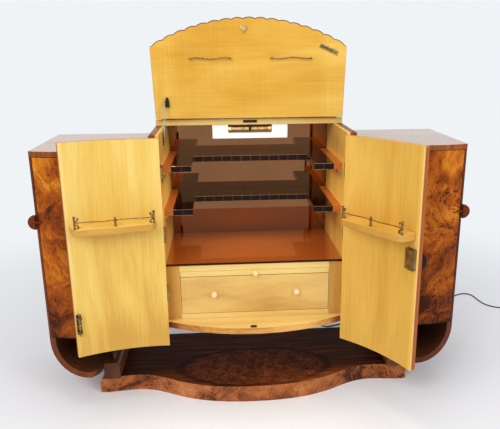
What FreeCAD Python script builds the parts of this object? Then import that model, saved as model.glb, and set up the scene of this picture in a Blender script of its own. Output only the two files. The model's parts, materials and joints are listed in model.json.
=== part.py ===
import FreeCAD, Part
import math
import os

# Bar cabinet: bow-fronted centre with a lift-up lid and two doors, between two lower wings.
# Millimetres. Origin: centre of the plinth's underside. x to the right, the front faces -y, z up.
# The lid and the two centre doors stand open; everything else is shut.

V = FreeCAD.Vector

# ---- overall sizes -------------------------------------------------------------------------
WIDTH = 1500.0          # over the two wings
BACK_Y = 210.0          # rear plane of the whole cabinet
WING_TOP_Z = 948.0      # height of the wings
RIM_Z = 995.0           # height of the centre's side walls
PLINTH_HEIGHT = 64.0
FIT = 0.3               # clearance between pieces that are let into each other
BAR_SIDES = 8           # flats round thin bars and the flex
GLASS_FIT = 0.4         # clearance round glass and mirrors

# ---- base ----------------------------------------------------------------------------------
PLINTH_INSET = 153.0    # from a wing's side to the plinth's end
PLINTH_BOW_Y = -249.0   # front of the plinth in the middle
PLINTH_TOE_Y = -137.0   # front of its two toes
PLINTH_TOE = 147.0      # length of a toe
PLINTH_SWEEP = 157.0    # run of the curve between a toe and the bow
PLINTH_WALL = 24.0
PLINTH_DECK = 18.0
PLINTH_RAIL = 60.0      # cross rail under the middle of the deck
PLINTH_END_ROUND = 28.0
BEARER_WIDTH = 62.0
BEARER_INSET = 19.0     # from the plinth's end to the bearer
BEARER_FRONT_Y = -152.0
BEARER_ROUND = 14.0

# ---- wings ---------------------------------------------------------------------------------
BOARD = 19.0
SIDE_BOARD = 23.0       # thickness of the bent side boards
CRADLE_RADIUS = 145.0   # outer radius of the bend under each wing
CRADLE_Z = 108.0        # underside of the bent boards
WING_FRONT_Y = -212.0   # foremost point of a wing's curved front
WING_AXIS_INSET = 121.0  # from the wing's side to the axis of that curve, in plan
WING_CURVE_REST = 53.0  # how far that curve would run on behind the centre section
WING_FLOOR_Z = 276.0
WING_FLOOR = 18.0
SIDE_LIP = 8.0          # what is left of the side board beside a wing door
WING_DOOR_BOTTOM_Z = 270.0
WING_DOOR_GAP = 10.0    # from the stile to the hinge edge of a wing door
WING_HINGE_GAP = 6.0    # from the hinge edge of a wing door to its pin
WING_STILE = 12.0
WING_STILE_BACK = 158.0  # from the axis of the wing's curve forward to the back of the stile
PARTITION = 18.0
BACK_PANEL = 10.0
BACK_REBATE = 4.0       # how far the back panels sit inside the rear plane

# ---- centre section ------------------------------------------------------------------------
CENTRE_HALF = 352.0
CENTRE_SIDE = 22.0
LINING = 12.0
POST_Y = -205.0         # front of the centre's side walls
BOW_RISE = 80.0         # how far the doors' inner faces bow out in front of the side walls
DOOR = 22.0
DOOR_BOTTOM_Z = 236.0
DOOR_TOP_Z = 988.0
DOOR_EDGE_GAP = 10.0    # from the lining's face to the hinge edge of a shut door
DOOR_MEET = 1.0         # half the gap where the doors meet
PIN_OFFSET = 6.0        # from that edge to the hinge pin
PIN_STAND = 14.0        # pin in front of the side wall
BARREL_RADIUS = 5.6
HINGE_LENGTH = 60.0
HINGE_END = 90.0        # from a door's end to its outer hinge
LOW_HINGE_RISE = 80.0   # how much higher the centre doors' lowest hinge sits
LEFT_OPEN = 154.5       # how far each centre door stands open, in degrees
RIGHT_OPEN = 112.5
BOW_BOARD_Z = 294.0
BOW_BOARD = 23.0
BOW_BOARD_GAP = 4.0

# ---- drawer, slide and floor of the bar ----------------------------------------------------
FASCIA_Y = -185.0
FASCIA = 18.0
FASCIA_STILE = 47.0
BOTTOM_RAIL = 20.0
TOP_RAIL_Z = 502.0
GLASS_FLOOR_Z = 526.0
GLASS_FLOOR = 8.0
DRAWER_HEIGHT = 141.0
DRAWER_DEPTH = 350.0
DRAWER_SIDE = 10.0
RUNNING_GAP = 1.5
SLIDE = 19.5
SLIDE_DEPTH = 335.0
KNOB_RADIUS = 11.0
DRAWER_KNOB_X = 150.0
DRAWER_KNOB_RISE = 76.0  # above the drawer front's lower edge

# ---- shelves and lamp ----------------------------------------------------------------------
MIRROR_THICKNESS = 4.0
SHELF = 22.0
UPPER_SHELF_Z = 855.0
LOWER_SHELF_Z = 698.0
SHELF_FRONT_Y = -135.0
SHELF_BACK_STRIP_Y = 60.0
SHELF_ARM = 100.0       # from the lining to the inner edge of a shelf's arm
CLEAT = 10.0
LAMP_HALF = 143.0
LAMP_HEIGHT = 53.0
LAMP_DEPTH = 22.0
LAMP_Y = 62.0
LAMP_SLOT_HALF = 83.0
LAMP_SLOT_HEIGHT = 32.0

# ---- lid -----------------------------------------------------------------------------------
LID = 20.0
LID_UNDER_Z = 997.0     # underside of the shut lid
STRIP_FRONT_Y = 57.0    # front edge of the fixed strip behind the lid
LID_GAP = 2.2
LID_SIDE_INSET = 4.0    # the lid's rear corners inside the centre's sides
LID_FLARE = 9.0         # how much wider its front is, at each side
LID_CORNER_Y = -205.0
LID_APEX_Y = -298.0
LID_CORNER_ROUND = 10.0
SCALLOPS = 17
SCALLOP_RISE = 5.0
LID_BARREL_RADIUS = 3.0
LEAF = 1.2
LID_ROD = 152.0
LID_ROD_CENTRES = (-142.0, 152.0)
LID_ROD_RISE = 217.0    # from the lid's hinge axis to its fittings
LID_CATCH_RISE = 315.0
LID_CATCH_X = -19.0
LID_PLATE_RISE = 246.0
LID_PLATE_INSET = 65.0  # from the lid's front corner
STAY_INSET = 7.0        # from the lining to the inner face of the stay's arm
STAY_RISE = 62.0        # from the lid's hinge axis to the stay's pivot
STAY_STUD_Y = -50.0
STAY_STUD_DROP = 33.0   # from the rim to the stud on the side wall
STAY_ARM = 2.5
STAY_WIDTH = 9.0
STAY_LENGTH = 156.0

# ---- door fittings -------------------------------------------------------------------------
LEDGE_Z = 690.0
LEDGE = 24.0
LEDGE_DEPTH = 60.0
LEDGE_END_GAP = 32.0    # from the door's hinge edge to the ledge
LEDGE_FREE_X = 12.0
PULL_RADIUS = 27.0
WING_PULL_RADIUS = 26.0
PULL_REACH = 25.0
PULL_THICKNESS = 13.0
PULL_Z = 616.0
WING_PULL_Z = 705.0
BOLT_LENGTH = 83.0
BOLT_CLEAR = 4.0        # from the drawn-back bolt to the bow board
BOLT_CASE = 74.0
LOCK_WIDTH = 40.0
LOCK_HEIGHT = 70.0
LOCK_DEPTH = 15.0
LOCK_DROP = 29.0        # from the ledge's underside to the lock case

# ---- flex ----------------------------------------------------------------------------------
FLEX = 6.0
GLAND_INSET = 38.0      # from the inner face of the centre's side to the bush for the flex
COIL_MEAN_RADIUS = 33.0
COIL_BAND = 18.0        # width of the wound turns
COIL_HEIGHT = 12.0
COIL_CENTRE = V(1372.0, 455.0, 0.0)

HALF = WIDTH / 2
REST = FLEX / 2         # height of the flex's centre line on the floor
inner_half = CENTRE_HALF - CENTRE_SIDE - LINING
plinth_half = HALF - PLINTH_INSET
wing_axis_x = HALF - WING_AXIS_INSET
wing_radius = wing_axis_x - CENTRE_HALF + WING_CURVE_REST
wing_axis_y = WING_FRONT_Y + wing_radius
wing_door_inner_x = CENTRE_HALF + WING_STILE + WING_DOOR_GAP
door_edge_x = inner_half - DOOR_EDGE_GAP
pin_x = door_edge_x + PIN_OFFSET
pin_y = POST_Y - PIN_STAND
fascia_half = inner_half - FASCIA_STILE
lid_rear_half = CENTRE_HALF - LID_SIDE_INSET
lid_front_half = lid_rear_half + LID_FLARE
ledge_hinge_x = door_edge_x - LEDGE_END_GAP

os.makedirs("parts", exist_ok=True)


# ---- helpers -------------------------------------------------------------------------------
def block(x0, x1, y0, y1, z0, z1):
    """Box between two corners."""
    return Part.makeBox(x1 - x0, y1 - y0, z1 - z0, V(x0, y0, z0))


def rod(radius, start, end):
    """Cylinder between two points."""
    return Part.makeCylinder(radius, (end - start).Length, start, end - start)


def polygon_ring(radius, centre, normal):
    """Regular polygon about a point, square to a direction."""
    along = V(normal).normalize()
    across = along.cross(V(0, 0, 1) if abs(along.z) < 0.9 else V(1, 0, 0)).normalize()
    other = along.cross(across)
    turns = [2 * math.pi * i / BAR_SIDES for i in range(BAR_SIDES)] + [0]
    return Part.makePolygon([centre + (across * math.cos(t) + other * math.sin(t)) * radius for t in turns])


def bar(radius, start, end):
    """Plain bar with BAR_SIDES flats between two points, for thin fittings."""
    return Part.Face(polygon_ring(radius, start, end - start)).extrude(end - start)


def prism(edges, z0, z1):
    """Closed plan outline, drawn at z = 0, raised from z0 to z1."""
    face = Part.Face(Part.Wire(edges))
    return face.extrude(V(0, 0, z1 - z0)).translated(V(0, 0, z0))


def outline(*points):
    """Straight edges through plan points."""
    corners = [V(x, y, 0) for x, y in points]
    return [Part.makeLine(a, b) for a, b in zip(corners, corners[1:])]


def profile_y(edges, y0, y1):
    """Closed outline drawn in the xz plane, run from y0 to y1."""
    face = Part.Face(Part.Wire(edges))
    return face.extrude(V(0, y1 - y0, 0)).translated(V(0, y0, 0))


def arc_y(radius, axis_x, axis_y, x):
    """The y of a point on the front of a circle in plan."""
    return axis_y - math.sqrt(radius ** 2 - (x - axis_x) ** 2)


def arc(radius, axis_x, axis_y, x0, x1):
    """Front arc of a circle in plan between two x values."""
    middle = (x0 + x1) / 2
    points = [V(x, arc_y(radius, axis_x, axis_y, x), 0) for x in (x0, middle, x1)]
    return Part.Arc(*points).toShape()


def mirrored(shape):
    """The same piece for the other side."""
    return shape.mirror(V(0, 0, 0), V(1, 0, 0))


def fused(*shapes):
    """One solid from several."""
    return shapes[0].fuse(list(shapes[1:])).removeSplitter()


def save(node, *solids):
    """One STEP file for one node, which may hold several separate solids."""
    shape = solids[0] if len(solids) == 1 else Part.makeCompound(list(solids))
    shape.exportStep("parts/" + node + ".step")


def save_pair(name, shape):
    """A right-hand piece and its mirror image, one node each."""
    save(name + "_right", shape)
    save(name + "_left", mirrored(shape))


def save_both(name, *shapes):
    """Right-hand pieces and their mirror images in one node."""
    save(name, *shapes, *[mirrored(shape) for shape in shapes])


# ---- base ----------------------------------------------------------------------------------
def plinth_front(inset):
    """Front of the plinth in plan: flat toes that sweep out to a bow in the middle."""
    toe_x = plinth_half - PLINTH_TOE
    bow_x = toe_x - PLINTH_SWEEP
    half = [(0, PLINTH_BOW_Y), (bow_x - 143, PLINTH_BOW_Y + 12), (bow_x, PLINTH_BOW_Y + 61),
            (bow_x + 87, PLINTH_TOE_Y - 6), (toe_x, PLINTH_TOE_Y + 9), (plinth_half - 57, PLINTH_TOE_Y + 1)]
    end = (plinth_half - inset, PLINTH_TOE_Y)
    right = [V(x, y + inset, 0) for x, y in half + [end]]
    left = [V(-p.x, p.y, 0) for p in reversed(right[1:])]
    curve = Part.BSplineCurve()
    curve.interpolate(left + right)
    return curve.toShape(), right[-1]


def plinth_outline(inset):
    front, corner = plinth_front(inset)
    x, y, back = corner.x, corner.y, BACK_Y - inset
    return [front] + outline((x, y), (x, back), (-x, back), (-x, y))


def rounded_end_profile():
    """Long side of the plinth, with the upper corner of each end rounded off."""
    x, z, r = plinth_half, PLINTH_HEIGHT, PLINTH_END_ROUND
    k = r * (1 - math.sqrt(0.5))
    right = Part.Arc(V(x, 0, z - r), V(x - k, 0, z - k), V(x - r, 0, z)).toShape()
    left = Part.Arc(V(-x + r, 0, z), V(-x + k, 0, z - k), V(-x, 0, z - r)).toShape()
    sole = Part.makeLine(V(-x, 0, 0), V(x, 0, 0))
    ends = [Part.makeLine(V(s * x, 0, 0), V(s * x, 0, z - r)) for s in (1, -1)]
    top = Part.makeLine(V(x - r, 0, z), V(-x + r, 0, z))
    return [sole, ends[0], right, top, left, ends[1]]


def plinth():
    body = prism(plinth_outline(0), 0, PLINTH_HEIGHT)
    body = body.common(profile_y(rounded_end_profile(), -BACK_Y * 2, BACK_Y * 2))
    hollow = prism(plinth_outline(PLINTH_WALL), 0, PLINTH_HEIGHT - PLINTH_DECK)
    ends = profile_y(rounded_end_profile(), -BACK_Y * 2, BACK_Y * 2)
    ends = ends.translated(V(0, 0, -PLINTH_DECK))
    middle_rail = block(-PLINTH_RAIL / 2, PLINTH_RAIL / 2, -BACK_Y * 2, BACK_Y * 2, 0, PLINTH_HEIGHT)
    return body.cut(hollow.common(ends).cut(middle_rail))


bearer_outer_x = plinth_half - BEARER_INSET
bearer_inner_x = bearer_outer_x - BEARER_WIDTH
cradle_top_z = CRADLE_Z + SIDE_BOARD
bend_axis_x = HALF - CRADLE_RADIUS
bend_axis_z = CRADLE_Z + CRADLE_RADIUS
side_inner_x = HALF - SIDE_BOARD
wing_top_under_z = WING_TOP_Z - BOARD
back_face_y = BACK_Y - BACK_REBATE - BACK_PANEL


def bearer():
    """Block on the plinth's toe that takes the end of the bent board."""
    body = block(bearer_inner_x, bearer_outer_x, BEARER_FRONT_Y, BACK_Y, PLINTH_HEIGHT, cradle_top_z)
    edge = [e for e in body.Edges
            if abs(e.BoundBox.XMax - bearer_inner_x) < 0.1 and abs(e.BoundBox.ZMin - cradle_top_z) < 0.1]
    return body.makeFillet(BEARER_ROUND, edge)


# ---- wings ---------------------------------------------------------------------------------
def bend(radius, z_top):
    """Vertical line and quarter bend of a side board, in the xz plane, from the top down."""
    low = bend_axis_z - radius
    k = radius * math.sqrt(0.5)
    upright = Part.makeLine(V(bend_axis_x + radius, 0, z_top), V(bend_axis_x + radius, 0, bend_axis_z))
    middle = V(bend_axis_x + k, 0, bend_axis_z - k)
    curve = Part.Arc(V(bend_axis_x + radius, 0, bend_axis_z), middle, V(bend_axis_x, 0, low)).toShape()
    run = Part.makeLine(V(bend_axis_x, 0, low), V(bearer_outer_x, 0, low))
    return [upright, curve, run]


def cradle():
    """Side board that bends under the wing and ends against the bearer."""
    inner = CRADLE_RADIUS - SIDE_BOARD
    end = Part.makeLine(V(bearer_outer_x, 0, CRADLE_Z), V(bearer_outer_x, 0, cradle_top_z))
    top = Part.makeLine(V(side_inner_x, 0, wing_top_under_z), V(HALF, 0, wing_top_under_z))
    edges = bend(CRADLE_RADIUS, wing_top_under_z) + [end] + bend(inner, wing_top_under_z) + [top]
    board = profile_y(Part.__sortEdges__(edges), -BACK_Y * 2, BACK_Y)
    turn_x = bend_axis_x + 5
    turn_y = arc_y(wing_radius, wing_axis_x, wing_axis_y, turn_x)
    round_end = Part.Arc(V(turn_x, turn_y, 0), V(turn_x - 18, turn_y + 18, 0),
                         V(bearer_outer_x, BEARER_FRONT_Y, 0)).toShape()
    front = arc(wing_radius, wing_axis_x, wing_axis_y, HALF, turn_x)
    rest = outline((bearer_outer_x, BEARER_FRONT_Y), (bearer_outer_x, BACK_Y), (HALF, BACK_Y),
                   (HALF, arc_y(wing_radius, wing_axis_x, wing_axis_y, HALF)))
    board = board.common(prism([front, round_end] + rest, 0, wing_top_under_z))
    seat_y = arc_y(wing_radius - DOOR, wing_axis_x, wing_axis_y, HALF - SIDE_LIP) + 1
    rebate = block(side_inner_x - 1, HALF - SIDE_LIP, -BACK_Y * 2, seat_y,
                   WING_DOOR_BOTTOM_Z - 2, wing_top_under_z + 1)
    return board.cut(rebate)


def wing_plan(inner_x, outer_x, radius, back_y):
    """Plan of a wing board: a round front and three straight sides."""
    ys = [arc_y(radius, wing_axis_x, wing_axis_y, x) for x in (inner_x, outer_x)]
    front = arc(radius, wing_axis_x, wing_axis_y, inner_x, outer_x)
    return [front] + outline((outer_x, ys[1]), (outer_x, back_y), (inner_x, back_y), (inner_x, ys[0]))


def wing_top():
    overhang = 2.0
    plan = wing_plan(CENTRE_HALF, HALF, wing_radius + overhang, BACK_Y)
    return prism(plan, wing_top_under_z, WING_TOP_Z)


def wing_floor():
    plan = wing_plan(CENTRE_HALF, side_inner_x, wing_radius - DOOR - 1, back_face_y)
    return prism(plan, WING_FLOOR_Z, WING_FLOOR_Z + WING_FLOOR)


def wing_back():
    """Back panel of a wing, carried down behind the open space over the bend."""
    inner = CRADLE_RADIUS - SIDE_BOARD
    step_x = bearer_inner_x + PARTITION
    low = [(step_x, cradle_top_z), (step_x, WING_FLOOR_Z), (CENTRE_HALF, WING_FLOOR_Z),
           (CENTRE_HALF, wing_top_under_z), (side_inner_x, wing_top_under_z)]
    corners = [V(x, 0, z) for x, z in [(bearer_outer_x, cradle_top_z)] + low]
    edges = [Part.makeLine(a, b) for a, b in zip(corners, corners[1:])] + bend(inner, wing_top_under_z)
    return profile_y(Part.__sortEdges__(edges), back_face_y, back_face_y + BACK_PANEL)


def partition():
    """Upright that stands on the bearer and carries the wing's floor."""
    return block(bearer_inner_x + BEARER_ROUND, bearer_inner_x + BEARER_ROUND + PARTITION - 4,
                 BEARER_FRONT_Y + 20, back_face_y, cradle_top_z, WING_FLOOR_Z)


def wing_stile():
    """Narrow upright between the centre and a wing door; the door hangs on it."""
    outer = CENTRE_HALF + WING_STILE
    plan = wing_plan(CENTRE_HALF, outer, wing_radius, wing_axis_y - WING_STILE_BACK)
    return prism(plan, WING_FLOOR_Z + WING_FLOOR, wing_top_under_z)


def wing_door_leaf():
    """Curved wing door: a sector of a drum with radial hinge edge and a square outer edge."""
    outer_x = HALF - SIDE_LIP - RUNNING_GAP
    hinge_y = arc_y(wing_radius, wing_axis_x, wing_axis_y, wing_door_inner_x)
    radial = V(wing_door_inner_x - wing_axis_x, hinge_y - wing_axis_y, 0).normalize()
    centre = V(wing_axis_x, wing_axis_y, 0)
    hinge_out = centre + radial * wing_radius
    hinge_in = centre + radial * (wing_radius - DOOR)
    face = arc(wing_radius, wing_axis_x, wing_axis_y, hinge_out.x, outer_x)
    inner = arc(wing_radius - DOOR, wing_axis_x, wing_axis_y, hinge_in.x, outer_x)
    edge = Part.makeLine(hinge_out, hinge_in)
    end = outline((outer_x, arc_y(wing_radius, wing_axis_x, wing_axis_y, outer_x)),
                  (outer_x, arc_y(wing_radius - DOOR, wing_axis_x, wing_axis_y, outer_x)))
    return prism([face] + end + [inner, edge], WING_DOOR_BOTTOM_Z, wing_top_under_z - RUNNING_GAP)


def wing_pin_axis():
    """Plan point of a wing door's hinge pins, just past the hinge edge of the leaf."""
    hinge_y = arc_y(wing_radius, wing_axis_x, wing_axis_y, wing_door_inner_x)
    radial = V(wing_door_inner_x - wing_axis_x, hinge_y - wing_axis_y, 0).normalize()
    return V(wing_door_inner_x, hinge_y, 0) + V(radial.y, -radial.x, 0) * WING_HINGE_GAP


def hinge_heights(bottom, top):
    """Lower ends of three hinges spread over a door."""
    lows = (bottom + HINGE_END, (bottom + top - HINGE_LENGTH) / 2, top - HINGE_END - HINGE_LENGTH)
    return [(z, z + HINGE_LENGTH) for z in lows]


def wing_hinges():
    """Three barrels with the leaves that fix them to the stile."""
    axis = wing_pin_axis()
    stile_x = CENTRE_HALF + WING_STILE
    stile_y = arc_y(wing_radius, wing_axis_x, wing_axis_y, stile_x)
    solids = []
    for low, high in hinge_heights(WING_DOOR_BOTTOM_Z, wing_top_under_z):
        barrel = rod(BARREL_RADIUS, V(axis.x, axis.y, low), V(axis.x, axis.y, high))
        leaf = block(stile_x, stile_x + LEAF, axis.y, stile_y + 22, low, high)
        solids.append(fused(barrel, leaf))
    return solids


# ---- pulls and knobs -----------------------------------------------------------------------
def pull(z):
    """Half-round pull standing out along -y from the plane y = 0, with softened edges."""
    centre = V(-PULL_THICKNESS / 2, PULL_RADIUS - PULL_REACH, z)
    disc = Part.makeCylinder(PULL_RADIUS, PULL_THICKNESS, centre, V(1, 0, 0))
    soft = disc.makeChamfer(3.0, [e for e in disc.Edges if e.Closed])
    return soft.common(block(-PULL_RADIUS, PULL_RADIUS, -PULL_RADIUS * 2, 0, 0, WING_TOP_Z))


def knob(x, z, face_y, radius):
    """Turned knob: a waisted stem and a domed head, its axis along y."""
    steps = [(0, 0), (0.75, 0), (0.5, 4), (0.5, 9), (1.0, 13), (1.0, 18), (0.7, 22), (0, 23.5)]
    corners = [V(part * radius, -depth, 0) for part, depth in steps]
    edges = [Part.makeLine(a, b) for a, b in zip(corners, corners[1:] + corners[:1])]
    body = Part.Face(Part.Wire(edges)).revolve(V(0, 0, 0), V(0, 1, 0), 360)
    return body.translated(V(x, face_y, z))


def wing_pull():
    """Half-round pull on the outer corner of a wing door, standing out past the wing's side."""
    chord_x = HALF - 2
    front_y = arc_y(wing_radius, wing_axis_x, wing_axis_y, HALF - SIDE_LIP) - 14
    disc = Part.makeCylinder(WING_PULL_RADIUS, PULL_THICKNESS, V(chord_x, front_y, WING_PULL_Z), V(0, 1, 0))
    disc = disc.makeChamfer(3.0, [e for e in disc.Edges if e.Closed])
    half = disc.common(block(chord_x, HALF * 2, front_y - 1, 0, 0, WING_TOP_Z))
    neck = block(HALF - 24, chord_x, front_y + 2, 0, WING_PULL_Z - 11, WING_PULL_Z + 11)
    neck = neck.cut(block(HALF - SIDE_LIP - 2, HALF, front_y + PULL_THICKNESS - 2, 1, 0, WING_TOP_Z))
    seat = Part.makeCylinder(wing_radius, WING_TOP_Z, V(wing_axis_x, wing_axis_y, 0))
    return fused(half, neck.cut(seat))


# ---- centre section ------------------------------------------------------------------------
side_face_x = CENTRE_HALF - CENTRE_SIDE
bow_radius = (inner_half ** 2 + BOW_RISE ** 2) / (2 * BOW_RISE)
bow_axis_y = POST_Y - BOW_RISE + bow_radius
fascia_z = BOW_BOARD_Z + BOW_BOARD
floor_under_z = GLASS_FLOOR_Z - 18.0
bolt_x = 12.0
bolt_y = arc_y(bow_radius - 12.0, 0, bow_axis_y, bolt_x)
bolt_radius = 3.0
bolt_z = fascia_z + BOLT_CLEAR


def centre_side():
    return block(side_face_x, CENTRE_HALF, POST_Y, BACK_Y - BACK_REBATE, WING_FLOOR_Z, RIM_Z)


def lining():
    return block(inner_half, side_face_x, POST_Y, back_face_y, fascia_z, RIM_Z)


def bow_board():
    """Bottom of the centre section; its front bows out under the shut doors."""
    radius = bow_radius - BOW_BOARD_GAP
    half = door_edge_x
    front_y = arc_y(radius, 0, bow_axis_y, half)
    front = arc(radius, 0, bow_axis_y, -half, half)
    sides = outline((half, front_y), (side_face_x, POST_Y + 4), (side_face_x, back_face_y),
                    (-side_face_x, back_face_y), (-side_face_x, POST_Y + 4), (-half, front_y))
    board = prism([front] + sides, BOW_BOARD_Z, fascia_z)
    hole = rod(bolt_radius + 0.7, V(-bolt_x, bolt_y, BOW_BOARD_Z - 1), V(-bolt_x, bolt_y, fascia_z + 1))
    return board.cut(hole).cut(strike_plate())


def strike_plate():
    """Brass plate let into the bow board, with the hole for the door's bolt."""
    thickness = 1.5
    plate = block(-bolt_x - 11, -bolt_x + 11, bolt_y - 4.5, bolt_y + 16, fascia_z - thickness, fascia_z)
    hole = rod(bolt_radius + 0.6, V(-bolt_x, bolt_y, BOW_BOARD_Z), V(-bolt_x, bolt_y, fascia_z + 1))
    return plate.cut(hole)


def centre_back():
    return block(-side_face_x, side_face_x, back_face_y, back_face_y + BACK_PANEL, BOW_BOARD_Z, RIM_Z)


def rear_strip():
    """Fixed strip of the top, behind the lid."""
    strip = block(-CENTRE_HALF, CENTRE_HALF, STRIP_FRONT_Y, BACK_Y, RIM_Z, LID_UNDER_Z + LID)
    corners = [e for e in strip.Edges if e.BoundBox.ZLength > 1 and e.BoundBox.YMin > BACK_Y - 1]
    return strip.makeFillet(18, corners)


def fascia():
    """Two stiles and two rails that frame the drawer and the slide."""
    back = FASCIA_Y + FASCIA
    half = fascia_half
    stiles = [block(half, inner_half, FASCIA_Y, back, fascia_z, GLASS_FLOOR_Z)]
    stiles.append(mirrored(stiles[0]))
    low = block(-half, half, FASCIA_Y, back, fascia_z, fascia_z + BOTTOM_RAIL)
    high = block(-half, half, FASCIA_Y, back, TOP_RAIL_Z, GLASS_FLOOR_Z)
    return stiles + [low, high]


def floor_board():
    return block(-inner_half, inner_half, FASCIA_Y + FASCIA, back_face_y, floor_under_z, GLASS_FLOOR_Z)


def glass_floor():
    half = inner_half - GLASS_FIT
    plate = block(-half, half, FASCIA_Y - 5, back_face_y - MIRROR_THICKNESS - GLASS_FIT,
                  GLASS_FLOOR_Z, GLASS_FLOOR_Z + GLASS_FLOOR)
    return plate


def back_mirror():
    half = inner_half - GLASS_FIT
    return block(-half, half, back_face_y - MIRROR_THICKNESS, back_face_y,
                 GLASS_FLOOR_Z, RIM_Z - 1)


def u_shelf(z):
    """Shelf with a strip along the back and an arm down each side."""
    half = inner_half - GLASS_FIT
    back = back_face_y - MIRROR_THICKNESS - GLASS_FIT
    slab = block(-half, half, SHELF_FRONT_Y, back, z, z + SHELF)
    notch = block(SHELF_ARM - inner_half, inner_half - SHELF_ARM, SHELF_FRONT_Y - 1, SHELF_BACK_STRIP_Y,
                  z - 1, z + SHELF + 1)
    return slab.cut(notch)


def shelf_cleats():
    """Battens on the side walls, one under each arm of the shelves."""
    solids = []
    for z in (UPPER_SHELF_Z, LOWER_SHELF_Z):
        cleat = block(inner_half - CLEAT, inner_half, SHELF_FRONT_Y + 14, back_face_y - MIRROR_THICKNESS - 1,
                      z - CLEAT, z)
        solids += [cleat, mirrored(cleat)]
    return solids


# ---- drawer and slide ----------------------------------------------------------------------
drawer_half = fascia_half - RUNNING_GAP
drawer_z = fascia_z + BOTTOM_RAIL + RUNNING_GAP
box_half = drawer_half - 4
box_z = drawer_z + 6
box_top_z = box_z + 113
slide_top_z = TOP_RAIL_Z - RUNNING_GAP / 2
slide_z = slide_top_z - SLIDE


def drawer_front():
    return block(-drawer_half, drawer_half, FASCIA_Y, FASCIA_Y + FASCIA, drawer_z, drawer_z + DRAWER_HEIGHT)


def drawer_box():
    """Open box behind the drawer's front."""
    front_y = FASCIA_Y + FASCIA
    body = block(-box_half, box_half, front_y, front_y + DRAWER_DEPTH, box_z, box_top_z)
    room = block(-box_half + DRAWER_SIDE, box_half - DRAWER_SIDE, front_y + DRAWER_SIDE,
                 front_y + DRAWER_DEPTH - DRAWER_SIDE, box_z + 6, box_top_z + 1)
    return body.cut(room)


def drawer_runners():
    """Two rails on the bottom board that the drawer slides on, with a guide at each side."""
    front_y = FASCIA_Y + FASCIA + 2 * FIT
    rail = block(box_half - 20, inner_half, front_y, back_face_y, fascia_z, box_z - FIT)
    guide = block(box_half + 1, inner_half, front_y, back_face_y, box_z - FIT, box_z + 14)
    body = fused(rail, guide)
    return [body, mirrored(body)]


def slide_board():
    board = block(-drawer_half, drawer_half, FASCIA_Y, FASCIA_Y + SLIDE_DEPTH, slide_z, slide_top_z)
    return board


def slide_guides():
    """Grooved rails that carry the pull-out shelf above the drawer."""
    front_y = FASCIA_Y + FASCIA + 2 * FIT
    lip = 16.0
    rail = block(drawer_half - lip, inner_half, front_y, back_face_y, box_top_z + 4, floor_under_z)
    groove = block(drawer_half - lip - 1, drawer_half + 1, front_y - 1, back_face_y + 1,
                   slide_z - FIT, slide_top_z + FIT)
    body = rail.cut(groove)
    return [body, mirrored(body)]


# ---- lamp ----------------------------------------------------------------------------------
def lamp_shade():
    """Opal hood under the fixed strip, notched in the middle to show the lamp."""
    body = block(-LAMP_HALF, LAMP_HALF, LAMP_Y, LAMP_Y + LAMP_DEPTH, RIM_Z - LAMP_HEIGHT, RIM_Z)
    notch = block(-LAMP_SLOT_HALF, LAMP_SLOT_HALF, LAMP_Y - 1, LAMP_Y + LAMP_DEPTH + 1,
                  RIM_Z - LAMP_SLOT_HEIGHT, RIM_Z + 1)
    return body.cut(notch)


def lamp_fitting():
    """Brass tube lamp across the notch, on a bracket from the fixed strip."""
    y = LAMP_Y + LAMP_DEPTH / 2
    z = RIM_Z - LAMP_SLOT_HEIGHT / 2
    tube = bar(6.5, V(-LAMP_SLOT_HALF, y, z), V(LAMP_SLOT_HALF, y, z))
    collars = [bar(9, V(x - 5, y, z), V(x + 5, y, z)) for x in (-LAMP_SLOT_HALF + 8, 0, LAMP_SLOT_HALF - 8)]
    bracket = block(-7, 7, y - 5, y + 5, z, RIM_Z)
    return fused(tube, bracket, *collars)


def lamp_switch():
    """Brass contact plate of the lamp's switch, on the front edge of the fixed strip."""
    z = LID_UNDER_Z + LID / 2
    return block(-26, 26, STRIP_FRONT_Y - LEAF, STRIP_FRONT_Y, z - 5, z + 5)


# ---- lid, drawn shut and then turned up ----------------------------------------------------
lid_axis_z = LID_UNDER_Z + LID + LID_BARREL_RADIUS + FIT
lid_rear_y = STRIP_FRONT_Y - LID_GAP


def turned_up(shape):
    """The shut position turned up by 90 degrees on the lid's hinge."""
    open_lid = shape.copy()
    open_lid.rotate(V(0, STRIP_FRONT_Y, lid_axis_z), V(1, 0, 0), -90)
    return open_lid


def scalloped_edge():
    """Front of the lid: equal lobes set along an arc."""
    corner_half = lid_front_half - LID_CORNER_ROUND
    rise = LID_CORNER_Y - LID_APEX_Y
    radius = (corner_half ** 2 + rise ** 2) / (2 * rise)
    axis_y = LID_APEX_Y + radius
    sweep = math.asin(corner_half / radius)
    edges = []
    for i in range(SCALLOPS):
        angles = [-sweep + 2 * sweep * (i + step) / SCALLOPS for step in (0, 0.5, 1)]
        reach = [radius, radius + SCALLOP_RISE, radius]
        points = [V(r * math.sin(a), axis_y - r * math.cos(a), 0) for r, a in zip(reach, angles)]
        edges.append(Part.Arc(*points).toShape())
    return edges


def lid_panel():
    """Lid with straight sides that flare to the front and a scalloped bow front."""
    front_half = lid_front_half
    corner_half = front_half - LID_CORNER_ROUND
    side_y = LID_CORNER_Y + LID_CORNER_ROUND
    k = LID_CORNER_ROUND * (1 - math.sqrt(0.5))
    corners = [Part.Arc(V(s * corner_half, LID_CORNER_Y, 0), V(s * (front_half - k), LID_CORNER_Y + k, 0),
                        V(s * front_half, side_y, 0)).toShape() for s in (-1, 1)]
    sides = outline((front_half, side_y), (lid_rear_half, lid_rear_y),
                    (-lid_rear_half, lid_rear_y), (-front_half, side_y))
    panel = prism(Part.__sortEdges__(scalloped_edge() + corners + sides), LID_UNDER_Z, LID_UNDER_Z + LID)
    return turned_up(panel)


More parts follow.
